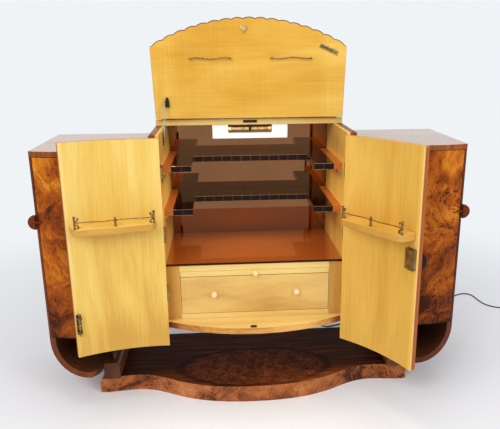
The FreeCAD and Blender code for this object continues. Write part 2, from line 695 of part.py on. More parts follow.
def lid_hinge_fixed():
    """Barrel of the long hinge with the leaf on the fixed strip."""
    half = lid_rear_half - 20
    top = LID_UNDER_Z + LID
    barrel = rod(LID_BARREL_RADIUS, V(-half, STRIP_FRONT_Y, lid_axis_z), V(half, STRIP_FRONT_Y, lid_axis_z))
    leaf = block(-half, half, STRIP_FRONT_Y + 1, STRIP_FRONT_Y + 22, top, top + LEAF)
    return fused(barrel, leaf)


def lid_hinge_moving():
    """The hinge's other leaf, on the outer face of the lid."""
    half = lid_rear_half - 20
    top = LID_UNDER_Z + LID
    rear = STRIP_FRONT_Y - LID_BARREL_RADIUS - FIT
    return turned_up(block(-half, half, rear - 22, rear, top, top + LEAF))


lid_face_y = STRIP_FRONT_Y - (lid_axis_z - LID_UNDER_Z)


def lid_rods():
    """Two brass rods on short feet, across the inner face of the lid."""
    z = lid_axis_z + LID_ROD_RISE
    y = lid_face_y - 10
    solids = []
    for centre in LID_ROD_CENTRES:
        x0, x1 = centre - LID_ROD / 2, centre + LID_ROD / 2
        long_bar = bar(2.4, V(x0, y, z), V(x1, y, z))
        feet = [bar(4.5, V(x, lid_face_y, z), V(x, y - 3.5, z)) for x in (x0 + 5, x1 - 5)]
        solids.append(fused(long_bar, *feet))
    return solids


def lid_catch():
    """Triangular brass keeper near the lid's front edge."""
    z, x = lid_axis_z + LID_CATCH_RISE, LID_CATCH_X
    plan = [V(x - 16, 0, z + 13), V(x + 16, 0, z + 13), V(x, 0, z - 13)]
    edges = [Part.makeLine(plan[i], plan[(i + 1) % 3]) for i in range(3)]
    plate = profile_y(edges, lid_face_y - 5, lid_face_y)
    corners = [e for e in plate.Edges if e.BoundBox.YLength > 1]
    return plate.makeFillet(3, corners)


def lid_buffer():
    """Small felt disc on the rim that the lid comes down on."""
    x, y = CENTRE_HALF - 11, POST_Y + 10
    return bar(5, V(x, y, RIM_Z), V(x, y, LID_UNDER_Z - FIT))


def lid_plate():
    """Thin brass plate set along the lid's edge; it clears the side wall when the lid shuts."""
    thickness = 1.6
    plate = block(-37, 37, lid_face_y - thickness, lid_face_y, -9, 9)
    plate.rotate(V(0, 0, 0), V(0, 1, 0), 24.5)
    return plate.translated(V(lid_front_half - LID_PLATE_INSET, 0, lid_axis_z + LID_PLATE_RISE))


# ---- lid stay ------------------------------------------------------------------------------
stay_x = STAY_INSET - inner_half
stay_top = V(stay_x, lid_face_y - 8, lid_axis_z + STAY_RISE)
stay_foot = V(stay_x, STAY_STUD_Y, RIM_Z - STAY_STUD_DROP)


def stay_bracket():
    """Bracket on the lid with the pin that the arm turns on."""
    base = block(stay_x + 1, stay_x + 16, lid_face_y - 3, lid_face_y, stay_top.z - 18, stay_top.z + 18)
    ear = block(stay_x + 1, stay_x + 4, stay_top.y - 6, lid_face_y, stay_top.z - 8, stay_top.z + 8)
    pin = rod(2.2, stay_top - V(STAY_ARM + 1, 0, 0), stay_top + V(3, 0, 0))
    return fused(base, ear, pin)


def stay_arm():
    """Slotted arm from the lid's bracket down past the stud on the side wall."""
    line = (stay_foot - stay_top).normalize()
    side = V(0, line.z, -line.y)
    half = STAY_WIDTH / 2
    head = stay_top - line * half
    foot = stay_top + line * STAY_LENGTH
    corners = [head + side * half, foot + side * half, foot - side * half, head - side * half]
    edges = [Part.makeLine(corners[i], corners[(i + 1) % 4]) for i in range(4)]
    arm = Part.Face(Part.Wire(edges)).extrude(V(-STAY_ARM, 0, 0))
    eye = rod(2.6, stay_top - V(STAY_ARM + 2, 0, 0), stay_top + V(2, 0, 0))
    return arm.cut(eye)


def stay_guide():
    """Plate with a stud on the side wall, beside the arm."""
    wall = -inner_half
    plate = block(wall, wall + 2, stay_foot.y - 9, stay_foot.y + 9, stay_foot.z - 24, stay_foot.z + 20)
    stud = rod(5, V(wall, stay_foot.y, stay_foot.z), V(stay_x - STAY_ARM - 0.5, stay_foot.y, stay_foot.z))
    return fused(plate, stud)


# ---- centre doors, drawn shut and then swung open ------------------------------------------
def door_leaf():
    """Right-hand door: a slice of a cylinder wall."""
    outer = bow_radius + DOOR
    front = arc(outer, 0, bow_axis_y, DOOR_MEET, door_edge_x)
    back = arc(bow_radius, 0, bow_axis_y, DOOR_MEET, door_edge_x)
    ends = [outline((x, arc_y(outer, 0, bow_axis_y, x)), (x, arc_y(bow_radius, 0, bow_axis_y, x)))[0]
            for x in (DOOR_MEET, door_edge_x)]
    return prism([front, ends[1], back, ends[0]], DOOR_BOTTOM_Z, DOOR_TOP_Z)


def ledge_front(x):
    """The y of the ledge's straight front edge."""
    ys = [arc_y(bow_radius, 0, bow_axis_y, e) + LEDGE_DEPTH for e in (LEDGE_FREE_X, ledge_hinge_x)]
    return ys[0] + (ys[1] - ys[0]) * (x - LEDGE_FREE_X) / (ledge_hinge_x - LEDGE_FREE_X)


def door_ledge():
    """Shelf on the inner face of a door: its back follows the door, its front is straight."""
    back = arc(bow_radius, 0, bow_axis_y, LEDGE_FREE_X, ledge_hinge_x)
    rest = outline((ledge_hinge_x, arc_y(bow_radius, 0, bow_axis_y, ledge_hinge_x)),
                   (ledge_hinge_x, ledge_front(ledge_hinge_x)), (LEDGE_FREE_X, ledge_front(LEDGE_FREE_X)),
                   (LEDGE_FREE_X, arc_y(bow_radius, 0, bow_axis_y, LEDGE_FREE_X)))
    body = prism([back] + rest, LEDGE_Z, LEDGE_Z + LEDGE)
    upright = [e for e in body.Edges if e.BoundBox.ZLength > 1]
    front = [e for e in upright if e.BoundBox.YMin > arc_y(bow_radius, 0, bow_axis_y, e.BoundBox.XMin) + 20]
    return body.makeFillet(22, front)


def gallery():
    """Brass gallery along the ledge: two end posts with spread arms, a middle post and a rail."""
    top = LEDGE_Z + LEDGE
    inset, back = 20.0, 7.0
    xs = [LEDGE_FREE_X + inset, (LEDGE_FREE_X + ledge_hinge_x) / 2, ledge_hinge_x - inset]
    feet = [V(x, ledge_front(x) - back, top) for x in xs]
    up = V(0, 0, 1)
    along = (feet[2] - feet[0]).normalize()
    pieces = [bar(2.6, feet[0] + up * 21, feet[2] + up * 21), bar(3.0, feet[1], feet[1] + up * 32)]
    for foot, way in ((feet[0], 1), (feet[2], -1)):
        tip = foot + along * (13 * way)
        pieces.append(bar(3.6, foot, foot + up * 44))
        pieces.append(bar(2.2, foot + up * 20, tip + up * 36))
        pieces.append(bar(2.2, foot + up * 20, tip + up * 4))
    return fused(*pieces)


def door_pull():
    """Half-round pull on the outer face, near the edge where the doors meet."""
    x = DOOR_MEET + PULL_THICKNESS / 2 + 2
    outer = bow_radius + DOOR
    seat = pull(PULL_Z)
    seat.rotate(V(0, 0, 0), V(0, 0, 1), math.degrees(math.asin(x / outer)))
    return seat.translated(V(x, arc_y(outer, 0, bow_axis_y, x) - 0.05, 0))


def on_door(x0, x1, z0, z1, depth):
    """Plate on the inner face of a door, its back curved to the door."""
    y0 = arc_y(bow_radius, 0, bow_axis_y, x0) - 2
    body = block(x0, x1, y0, arc_y(bow_radius, 0, bow_axis_y, x0) + depth, z0, z1)
    return body.common(Part.makeCylinder(bow_radius, WING_TOP_Z, V(0, bow_axis_y, 0)))


def bolt_case():
    """Two brass straps on a back plate that hold the sliding bolt."""
    low = bolt_z + 3
    strap = 9.0
    plate = on_door(bolt_x - 8, bolt_x + 8, low, low + BOLT_CASE, 3)
    ends = (low + 6, low + BOLT_CASE - 6 - strap)
    straps = [on_door(bolt_x - 8, bolt_x + 8, z, z + strap, 17) for z in ends]
    bore = rod(bolt_radius + 0.25, V(bolt_x, bolt_y, fascia_z), V(bolt_x, bolt_y, low + BOLT_CASE * 2))
    return fused(plate, *straps).cut(bore)


def bolt():
    """Brass rod with a thumb knob."""
    shank = rod(bolt_radius, V(bolt_x, bolt_y, bolt_z), V(bolt_x, bolt_y, bolt_z + BOLT_LENGTH))
    thumb_z = bolt_z + 45
    thumb = rod(3.0, V(bolt_x, bolt_y, thumb_z), V(bolt_x, bolt_y + 12, thumb_z))
    return fused(shank, thumb)


def lock_case():
    """Lock case on the inner face beside the meeting edge."""
    x, top = DOOR_MEET + 2, LEDGE_Z - LOCK_DROP
    return on_door(x, x + LOCK_WIDTH, top - LOCK_HEIGHT, top, LOCK_DEPTH)


def door_hinges():
    """Three barrels standing in front of the side wall, each on a leaf fixed to its front edge."""
    solids = []
    for low, high in hinge_heights(DOOR_BOTTOM_Z + LOW_HINGE_RISE, DOOR_TOP_Z):
        barrel = rod(BARREL_RADIUS, V(pin_x, pin_y, low), V(pin_x, pin_y, high))
        neck = block(pin_x + 2, pin_x + 6, pin_y, POST_Y, low, high)
        leaf = block(inner_half + 1, CENTRE_HALF - 12, POST_Y - LEAF, POST_Y, low, high)
        solids.append(fused(barrel, neck, leaf))
    return solids


def swung(shape, side):
    """A shut right-hand piece placed on its open door; side is 1 for right and -1 for left."""
    turn = RIGHT_OPEN if side > 0 else LEFT_OPEN
    piece = shape.copy()
    piece.rotate(V(pin_x, pin_y, 0), V(0, 0, 1), turn)
    return piece if side > 0 else mirrored(piece)


# ---- flex ----------------------------------------------------------------------------------
gland_x = side_face_x - GLAND_INSET
gland_z = 340.0
FLEX_ROUTE = [
    (gland_x, BACK_Y + 8, gland_z), (gland_x + 1, 264, 335), (gland_x + 4, 296, 270),
    (gland_x + 8, 301, 190), (gland_x + 14, 299, 105), (gland_x + 26, 311, 32),
    (gland_x + 62, 338, REST), (425, 362, REST), (498, 390, REST), (572, 424, REST),
    (650, 450, REST), (731, 470, REST), (808, 502, REST), (884, 540, REST), (960, 575, REST),
    (1036, 612, REST), (1104, 648, REST), (1146, 671, REST), (1183, 664, REST),
    (1198, 628, REST), (1200, 572, REST), (1214, 516, REST), (1262, 476, REST), (1318, 470, REST),
    (COIL_CENTRE.x - 8, COIL_CENTRE.y - COIL_MEAN_RADIUS - 1, REST),
]


def flex_path(points):
    """Straight runs joined by the largest arcs they allow; also returns the arcs' radii."""
    corners = [V(*p) for p in points]
    edges, radii = [], []
    last = corners[0]
    for before, here, after in zip(corners, corners[1:], corners[2:]):
        into = (here - before).normalize()
        out = (after - here).normalize()
        turn = into.getAngle(out)
        reach = 0.45 * min((here - before).Length, (after - here).Length)
        radii.append(reach / math.tan(turn / 2))
        start, end = here - into * reach, here + out * reach
        bisector = (out - into).normalize()
        middle = here + bisector * (radii[-1] / math.cos(turn / 2) - radii[-1])
        edges.append(Part.makeLine(last, start))
        edges.append(Part.Arc(start, middle, end).toShape())
        last = end
    edges.append(Part.makeLine(last, corners[-1]))
    return Part.Wire(edges), radii


def flex():
    path, radii = flex_path(FLEX_ROUTE)
    print("flex radii", [round(r) for r in radii], "length", round(path.Length))
    start = V(*FLEX_ROUTE[0])
    ring = polygon_ring(FLEX / 2, start, V(*FLEX_ROUTE[1]) - start)
    return path.makePipeShell([ring], True, True)


def flex_coil():
    """Outer shape of the put-away turns."""
    outer = COIL_MEAN_RADIUS + COIL_BAND / 2
    inner = COIL_MEAN_RADIUS - COIL_BAND / 2
    ring = Part.makeCylinder(outer, COIL_HEIGHT, COIL_CENTRE)
    return ring.cut(Part.makeCylinder(inner, COIL_HEIGHT, COIL_CENTRE))


def plug():
    """Mains plug lying beside the coil: rounded body, three pins and a sleeve for the flex."""
    x = COIL_CENTRE.x + COIL_MEAN_RADIUS + COIL_BAND / 2
    y = COIL_CENTRE.y - 2
    body = block(x + 12, x + 50, y - 22, y + 22, 0, 24)
    body = body.makeFillet(5, [e for e in body.Edges if e.BoundBox.ZLength > 1])
    sleeve = rod(5, V(x + 0.5, y, 8), V(x + 12.5, y, 8))
    pins = [block(x + 50, x + 68, y - 2, y + 2, 14, 20)]
    pins += [block(x + 50, x + 67, y + s * 12 - 3, y + s * 12 + 3, 5, 9) for s in (-1, 1)]
    return fused(body, sleeve, *pins)


def gland():
    """Bush in the back panel that the flex leaves through."""
    start = V(gland_x, back_face_y + BACK_PANEL, gland_z)
    flange = bar(9, start, start + V(0, 4, 0))
    nose = bar(6, start, V(gland_x, FLEX_ROUTE[0][1], gland_z))
    return fused(flange, nose)


# ---- build ---------------------------------------------------------------------------------
save("plinth", plinth())
save_pair("side_cradle", cradle())
save_both("wing_tops", wing_top())
save_both("wing_floors", wing_floor())
save_both("wing_backs", wing_back())
save_both("wing_supports", bearer(), partition())
save_both("wing_stiles", wing_stile())
save_both("wing_hinges", *wing_hinges())
save_pair("wing_door", wing_door_leaf())
save_pair("wing_pull", wing_pull())

save_both("centre_sides", centre_side())
save_both("side_linings", lining())
save("bow_board", bow_board())
save("strike_plate", strike_plate())
save("centre_back", centre_back())
save("rear_strip", rear_strip())
save("fascia_frame", *fascia())
save("floor_board", floor_board())
save("glass_floor", glass_floor())
save("back_mirror", back_mirror())
save("shelves", u_shelf(UPPER_SHELF_Z), u_shelf(LOWER_SHELF_Z))
save("shelf_cleats", *shelf_cleats())

save("drawer_front", drawer_front())
save("drawer_box", drawer_box())
save_both("drawer_knobs", knob(DRAWER_KNOB_X, drawer_z + DRAWER_KNOB_RISE, FASCIA_Y, KNOB_RADIUS))
save("slide_board", slide_board())
save("slide_knob", knob(0, (slide_z + slide_top_z) / 2, FASCIA_Y, KNOB_RADIUS * 0.85))
save("drawer_and_slide_guides", *drawer_runners(), *slide_guides())

save("lamp_shade", lamp_shade())
save("lamp_fitting", lamp_fitting())
save("lamp_switch", lamp_switch())

save("lid_panel", lid_panel())
save("lid_hinge_fixed", lid_hinge_fixed())
save("lid_hinge_moving", lid_hinge_moving())
save("lid_rods", *lid_rods())
save("lid_catch", lid_catch())
save("lid_plate", lid_plate())
save_both("lid_buffers", lid_buffer())
save("stay_bracket", stay_bracket())
save("stay_arm", stay_arm())
save("stay_guide", stay_guide())

save_both("door_hinges", *door_hinges())
for name, side in (("left", -1), ("right", 1)):
    save(name + "_door", swung(door_leaf(), side))
    save(name + "_door_ledge", swung(door_ledge(), side))
    save(name + "_door_gallery", swung(gallery(), side))
    save(name + "_door_pull", swung(door_pull(), side))
save("left_bolt_case", swung(bolt_case(), -1))
save("left_bolt", swung(bolt(), -1))
save("right_lock_case", swung(lock_case(), 1))

save("flex_gland", gland())
save("flex", flex())
save("flex_coil", flex_coil())
save("flex_plug", plug())
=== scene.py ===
import json
import math

import bmesh
import bpy
from mathutils import Matrix, Vector

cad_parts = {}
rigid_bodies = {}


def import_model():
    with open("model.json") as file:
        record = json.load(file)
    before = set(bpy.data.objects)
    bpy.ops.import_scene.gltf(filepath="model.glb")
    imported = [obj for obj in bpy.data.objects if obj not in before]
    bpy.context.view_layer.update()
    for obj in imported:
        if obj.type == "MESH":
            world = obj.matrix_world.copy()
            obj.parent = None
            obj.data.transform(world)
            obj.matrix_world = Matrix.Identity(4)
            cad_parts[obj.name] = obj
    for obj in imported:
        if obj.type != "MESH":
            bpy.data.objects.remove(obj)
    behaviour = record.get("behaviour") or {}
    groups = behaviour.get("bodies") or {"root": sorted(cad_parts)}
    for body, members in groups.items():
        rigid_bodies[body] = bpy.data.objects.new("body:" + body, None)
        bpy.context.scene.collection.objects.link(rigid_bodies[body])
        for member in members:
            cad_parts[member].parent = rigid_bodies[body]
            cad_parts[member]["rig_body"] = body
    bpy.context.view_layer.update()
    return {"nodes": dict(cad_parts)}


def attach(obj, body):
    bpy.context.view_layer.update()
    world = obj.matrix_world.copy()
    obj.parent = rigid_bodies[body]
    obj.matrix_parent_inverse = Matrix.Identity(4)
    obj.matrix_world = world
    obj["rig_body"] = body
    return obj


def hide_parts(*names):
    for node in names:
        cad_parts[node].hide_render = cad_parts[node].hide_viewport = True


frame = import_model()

# ---------------------------------------------------------------- camera
# It stands a little left of the middle, above the wings' tops, and is turned slightly to the
# right and down.
def linked(name, data):
    """Puts a new object into the scene."""
    made = bpy.data.objects.new(name, data)
    bpy.context.scene.collection.objects.link(made)
    return made


yaw, pitch, roll = 0.0783, 0.2829, -0.0051
ahead = Vector((math.sin(yaw) * math.cos(pitch), math.cos(yaw) * math.cos(pitch), -math.sin(pitch)))
aimed = ahead.to_track_quat("-Z", "Y").to_matrix() @ Matrix.Rotation(roll, 3, "Z")
camera = linked("camera", bpy.data.cameras.new("camera"))
camera.location = (-0.10549, -2.22918, 1.27483)
camera.rotation_euler = aimed.to_euler()
camera.data.sensor_width = 36.0
camera.data.lens = 43.35
camera.data.shift_x = -0.0402
camera.data.shift_y = 0.0155
camera.data.clip_end = 50.0
bpy.context.scene.camera = camera


# ---------------------------------------------------------------- flex
# A round mains lead in black sheath. It leaves the back low on the right, drops to the floor,
# wanders off to the right and ends in six turns, wound in three rings two high, and a plug.
ROUTE = [
    (0.292, 0.218, 0.340), (0.293, 0.264, 0.335), (0.296, 0.296, 0.270), (0.300, 0.301, 0.190),
    (0.306, 0.299, 0.105), (0.318, 0.311, 0.032), (0.354, 0.338, 0.003), (0.425, 0.362, 0.003),
    (0.498, 0.390, 0.003), (0.572, 0.424, 0.003), (0.650, 0.450, 0.003), (0.731, 0.470, 0.003),
    (0.808, 0.502, 0.003), (0.884, 0.540, 0.003), (0.960, 0.575, 0.003), (1.036, 0.612, 0.003),
    (1.104, 0.648, 0.003), (1.146, 0.671, 0.003), (1.183, 0.664, 0.003), (1.198, 0.628, 0.003),
    (1.200, 0.572, 0.003), (1.214, 0.516, 0.003), (1.262, 0.476, 0.003), (1.318, 0.470, 0.003),
]
lead_radius = 0.003
coil_x, coil_y = 1.372, 0.455
TURNS = ((0.0385, 0.003), (0.033, 0.003), (0.0275, 0.003), (0.0275, 0.009), (0.033, 0.009), (0.0385, 0.009))
start_angle = math.radians(-104)
points_a_turn = 16
route = [Vector(p) for p in ROUTE]
for radius, height in TURNS:
    for i in range(points_a_turn):
        a = start_angle + 2 * math.pi * i / points_a_turn
        route.append(Vector((coil_x + radius * math.cos(a), coil_y + radius * math.sin(a), height)))
route += [Vector((coil_x + 0.0445, coil_y - 0.012, 0.0085)), Vector((coil_x + 0.0475, coil_y - 0.004, 0.008))]
curve = bpy.data.curves.new("flex_lead", "CURVE")
curve.dimensions = "3D"
line = curve.splines.new("NURBS")
line.points.add(len(route) - 1)
for point, place in zip(line.points, route):
    point.co = (*place, 1.0)
line.order_u = 3
line.use_endpoint_u = True
curve.bevel_depth = lead_radius
curve.bevel_resolution = 4
curve.resolution_u = 6
lead = linked("flex_lead", curve)


class Wire:
    """One socket of a node tree. Sums on wires add the nodes that work them out."""

    def __init__(self, bench, socket):
        self.bench, self.socket = bench, socket

    def math(self, operation, *values, output=0):
        several = any(isinstance(v, Wire) and v.socket.type in {"VECTOR", "RGBA"} for v in values)
        kind = "ShaderNodeVectorMath" if several else "ShaderNodeMath"
        return self.bench.node(kind, {"operation": operation}, dict(enumerate(values)), output)

    def __add__(self, other):
        return self.math("ADD", self, other)

    def __radd__(self, other):
        return self.math("ADD", other, self)

    def __sub__(self, other):
        return self.math("SUBTRACT", self, other)

    def __rsub__(self, other):
        return self.math("SUBTRACT", other, self)

    def __mul__(self, other):
        return self.math("MULTIPLY", self, other)

    def __rmul__(self, other):
        return self.math("MULTIPLY", other, self)

    def __truediv__(self, other):
        return self.math("DIVIDE", self, other)

    def __abs__(self):
        return self.math("ABSOLUTE", self)

    def length(self):
        return self.math("LENGTH", self, output=1)

    def ease(self, low, high, start=0.0, end=1.0):
        """Goes softly from start to end while the value goes from low to high."""
        values = {"Value": self, "From Min": low, "From Max": high, "To Min": start, "To Max": end}
        return self.bench.node("ShaderNodeMapRange", {"interpolation_type": "SMOOTHSTEP"}, values)


class Bench:
    """A node tree. Every node in it comes from node()."""

    def __init__(self, tree):
        self.tree = tree

    def node(self, kind, settings=None, values=None, output=0):
        made = self.tree.nodes.new(kind)
        for key, value in (settings or {}).items():
            if key != "stops":
                setattr(made, key, value)
                continue
            while len(made.color_ramp.elements) < len(value):
                made.color_ramp.elements.new(0.5)
            for element, (position, color) in zip(made.color_ramp.elements, value):
                element.position = position
                element.color = (*color, 1.0)
        for key, value in (values or {}).items():
            for one in value if isinstance(value, list) else [value]:
                if isinstance(one, Wire):
                    self.tree.links.new(one.socket, made.inputs[key])
                else:
                    made.inputs[key].default_value = one
        return Wire(self, made.outputs[output]) if len(made.outputs) else None


class Finish(Bench):
    """A wood, metal, glass or resin."""

    def __init__(self, name, color, **values):
        self.material = bpy.data.materials.new(name)
        self.material.use_nodes = True
        self.material.diffuse_color = (*color, 1.0)
        super().__init__(self.material.node_tree)
        self.surface = self.tree.nodes["Principled BSDF"]
        self.surface.inputs["Base Color"].default_value = (*color, 1.0)
        for key, value in values.items():
            self.surface.inputs[key.replace("_", " ")].default_value = value

    def place(self):
        return self.node("ShaderNodeTexCoord", output="Object")

    def axis(self, letter, where=None):
        return self.node("ShaderNodeSeparateXYZ", values={"Vector": where or self.place()}, output=letter)

    def noise(self, where, scale, detail=2.0, roughness=0.5, distortion=0.0, output="Fac"):
        values = {"Vector": where, "Scale": scale, "Detail": detail, "Roughness": roughness,
                  "Distortion": distortion}
        return self.node("ShaderNodeTexNoise", values=values, output=output)

    def color(self, value, *stops):
        return self.use("Base Color", self.node("ShaderNodeValToRGB", {"stops": stops}, {"Fac": value}))

    def use(self, socket, value):
        self.tree.links.new(value.socket, self.surface.inputs[socket])
        return self

    def bump(self, height, depth):
        values = {"Height": height, "Strength": 0.6, "Distance": depth}
        return self.use("Normal", self.node("ShaderNodeBump", values=values))

    def handled(self, base, spread, scale=60.0):
        """Roughness that varies a little, as where hands and cloths have been."""
        smear = self.noise(self.place(), scale, 4.0, 0.6)
        return self.use("Roughness", smear.ease(0.3, 0.75, base, base + spread))


def resin(name, color, second, rough=0.28, gloss=0.15):
    """Cast resin or moulded rubber with a soft marbling."""
    made = Finish(name, color, Coat_Weight=gloss, Coat_Roughness=0.1, Specular_IOR_Level=gloss * 2)
    marbling = made.noise(made.place(), 70.0, 4.0, 0.6, 2.0)
    return made.color(marbling, (0.35, color), (0.65, second)).handled(rough, 0.12, 90.0).material


def metal(name, dark, middle, bright, grain=140.0, rough=0.3, spread=0.25):
    """Metal that has dulled unevenly: dark in the hollows of a fine mottle, bright between them."""
    made = Finish(name, middle, Metallic=1.0)
    tarnish = made.noise(made.place(), grain, 5.0, 0.65)
    made.color(tarnish, (0.32, dark), (0.50, middle), (0.70, bright))
    return made.handled(rough, spread, 90.0).bump(tarnish, 0.0001).material


def placed(mesh, name, body, finishes, *nodes):
    """Puts a finished piece on its body, in place of the solids it stands for."""
    piece = linked(name, mesh)
    for finish in finishes:
        mesh.materials.append(finish)
    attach(piece, body)
    if nodes:
        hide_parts(*nodes)


def finished(form, name, body, finishes, *nodes, smooth=35):
    """Turns a bmesh into a shaded piece on its body."""
    bmesh.ops.recalc_face_normals(form, faces=form.faces)
    for face in form.faces:
        face.smooth = True
    for edge in form.edges:
        edge.smooth = not edge.is_manifold or edge.calc_face_angle() < math.radians(smooth)
    mesh = bpy.data.meshes.new(name)
    form.to_mesh(mesh)
    form.free()
    placed(mesh, name, body, finishes, *nodes)


def boxed(form, low, high):
    """Adds a box with faces between two corners."""
    made = bmesh.ops.create_cube(form, size=1.0)["verts"]
    middle = (Vector(low) + Vector(high)) / 2
    size = Vector(high) - Vector(low)
    for vertex in made:
        vertex.co = vertex.co * size + middle
    return made


def skinned(form, rings):
    """Joins rings of vertices, each with as many as the next, into one closed skin."""
    for low, high in zip(rings, rings[1:]):
        for i in range(len(low)):
            j = (i + 1) % len(low)
            form.faces.new((low[i], low[j], high[j], high[i]))
    form.faces.new(rings[0][::-1])
    form.faces.new(rings[-1])


def turned(form, profile, origin, axis, sides=32, girth=1.0):
    """Adds a solid of revolution. profile is (distance along the axis, radius) pairs, and girth
    scales the radii."""
    axis = Vector(axis).normalized()
    across = axis.orthogonal().normalized()
    other = axis.cross(across)
    rings = []
    for distance, radius in profile:
        middle = Vector(origin) + axis * distance
        rings.append([form.verts.new(middle + (across * math.cos(t) + other * math.sin(t)) * (radius * girth))
                      for t in (2 * math.pi * i / sides for i in range(sides))])
    skinned(form, rings)


sheath = resin("flex_sheath", (0.014, 0.014, 0.016), (0.034, 0.034, 0.038), 0.45)
black_rubber = resin("black_rubber", (0.018, 0.018, 0.020), (0.028, 0.028, 0.030), 0.45)
brass = metal("aged_brass", (0.10, 0.055, 0.02), (0.34, 0.205, 0.066), (0.62, 0.42, 0.16), grain=120.0,
              rough=0.28)
curve.materials.append(sheath)
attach(lead, "cabinet")
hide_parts("flex", "flex_coil")

# The strain relief: a round flange on the back board, then a rubber sleeve with five rings that
# tapers down onto the lead.
sleeve = [(0.0, 0.0088), (0.0022, 0.0090), (0.0032, 0.0082), (0.0036, 0.0062)]
RING = ((0.0, 0.0), (0.0032, 0.0002), (0.0038, 0.0012), (0.0054, 0.0014))
ring_pitch, ring_taper = 0.0058, 0.0004
for ring in range(5):
    at, thick = 0.0050 + ring_pitch * ring, 0.0060 - ring_taper * ring
    sleeve += [(at + further, thick - thinner) for further, thinner in RING]
sleeve += [(0.0345, 0.0042), (0.0365, 0.0038), (0.0372, 0.0032)]
form = bmesh.new()
turned(form, sleeve, (0.292, 0.2062, 0.3402), (0.010, 0.995, -0.062), sides=28)
finished(form, "strain_relief", "cabinet", [black_rubber], "flex_gland")

plug_x, plug_y = coil_x + 0.042, coil_y - 0.002
plug_half_width, plug_height = 0.0215, 0.0235
form = bmesh.new()
boxed(form, (plug_x + 0.0125, plug_y - plug_half_width, 0.0003),
      (plug_x + 0.0495, plug_y + plug_half_width, plug_height))
bmesh.ops.bevel(form, geom=list(form.edges), offset=0.004, segments=3, affect="EDGES")
turned(form, [(0.0, 0.0034), (0.003, 0.0046), (0.0125, 0.0048)], (plug_x + 0.0008, plug_y, 0.008),
       (1, 0, 0), sides=20)
finished(form, "plug_body", "cabinet", [black_rubber], "flex_plug")
form = bmesh.new()
for end, aside, half, low, high in ((0.0675, 0.0, 0.002, 0.014, 0.020), (0.0665, -0.012, 0.003, 0.005, 0.009),
                                    (0.0665, 0.012, 0.003, 0.005, 0.009)):
    boxed(form, (plug_x + 0.0490, plug_y + aside - half, low), (plug_x + end, plug_y + aside + half, high))
finished(form, "plug_pins", "cabinet", [brass])
form = bmesh.new()
boxed(form, (coil_x - 0.0418, coil_y - 0.004, 0.0002), (coil_x - 0.0242, coil_y + 0.004, 0.0118))
finished(form, "coil_tie", "cabinet", [black_rubber])


# ---------------------------------------------------------------- plinth and wing supports
# A shaped plinth of softwood faced with burr walnut. Its polished deck has an oval of finer burr
# let into the middle, and rounded bearers on it carry the wings.
def veneer(name, stops, along, streak=260.0, ripple=0.0, mottle=0.25, fibre_depth=0.45, coat=0.08, rough=0.36,
           fades=()):
    """Straight-grained veneer. along is the grain's axis, ripple adds bars across the grain, and
    each fade is an axis, where it starts and ends, and how much paler the leaf is painted there.
    Some fades follow the leaf's own tone, and some are painted shade."""
    made = Finish(name, stops[1][1], Coat_Weight=coat, Coat_Roughness=0.12, Specular_IOR_Level=0.15)
    fine, wide, bars = (Vector([a if axis == along else b for axis in "xyz"])
                        for a, b in ((6.0, streak), (1.3, 7.0), (190.0, 4.0)))
    fibre = made.noise(made.place() * fine, 1.0, 5.0, 0.65)
    broad = made.noise(made.place() * wide, 1.0, 3.0, 0.55, 0.8)
    value = (fibre - 0.5) * fibre_depth + (broad - 0.5) * (0.4 + mottle) + 0.45
    if ripple:
        bar = made.noise(made.place() * bars, 1.0, 2.0, 0.5, 0.3)
        value = value + (bar - 0.5) * made.noise(made.place(), 4.0, 2.0).ease(0.38, 0.64) * ripple
    for axis, start, end, amount in fades:
        if callable(axis):
            reach = axis(made)
        else:
            reach = abs(made.axis(axis[1])) if axis[0] == "|" else made.axis(axis)
        value = value + reach.ease(start, end, 0.0, amount)
    return made.color(value, *stops).handled(rough, 0.16).bump(fibre, 0.0001).material


def walnut(name, dark, middle, pale, along, **figure):
    return veneer(name, [(0.25, dark), (0.45, middle), (0.65, pale)], along, **figure)


def dressed(node, ease, finishes, paint=None):
    """Keeps a board's shape, with eased edges. paint() picks a finish for each face from where it
    looks and where it is."""
    source = frame["nodes"][node]
    form = bmesh.new()
    form.from_mesh(source.data)
    bmesh.ops.remove_doubles(form, verts=form.verts, dist=0.00001)
    bmesh.ops.dissolve_limit(form, angle_limit=math.radians(0.5), verts=form.verts, edges=form.edges)
    sharp = [e for e in form.edges if e.is_manifold and e.calc_face_angle() > math.radians(40)]
    bmesh.ops.bevel(form, geom=sharp, offset=ease, segments=2, profile=0.5, affect="EDGES",
                    clamp_overlap=True)
    form.normal_update()
    for face in form.faces:
        face.smooth = True
        face.material_index = paint(face.normal, face.calc_center_median()) if paint else 0
    for edge in form.edges:
        edge.smooth = edge.is_manifold and edge.calc_face_angle() < math.radians(20)
    mesh = bpy.data.meshes.new(node + "_dressed")
    form.to_mesh(mesh)
    form.free()
    placed(mesh, node + "_dressed", source["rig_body"], finishes, node)


def warped(made, where, scale, reach):
    """Moves places about softly, so that a figure drifts."""
    drift = made.noise(where, scale, 3.0, output="Color") - Vector((0.5, 0.5, 0.5))
    return where + drift * Vector((reach, reach, reach))


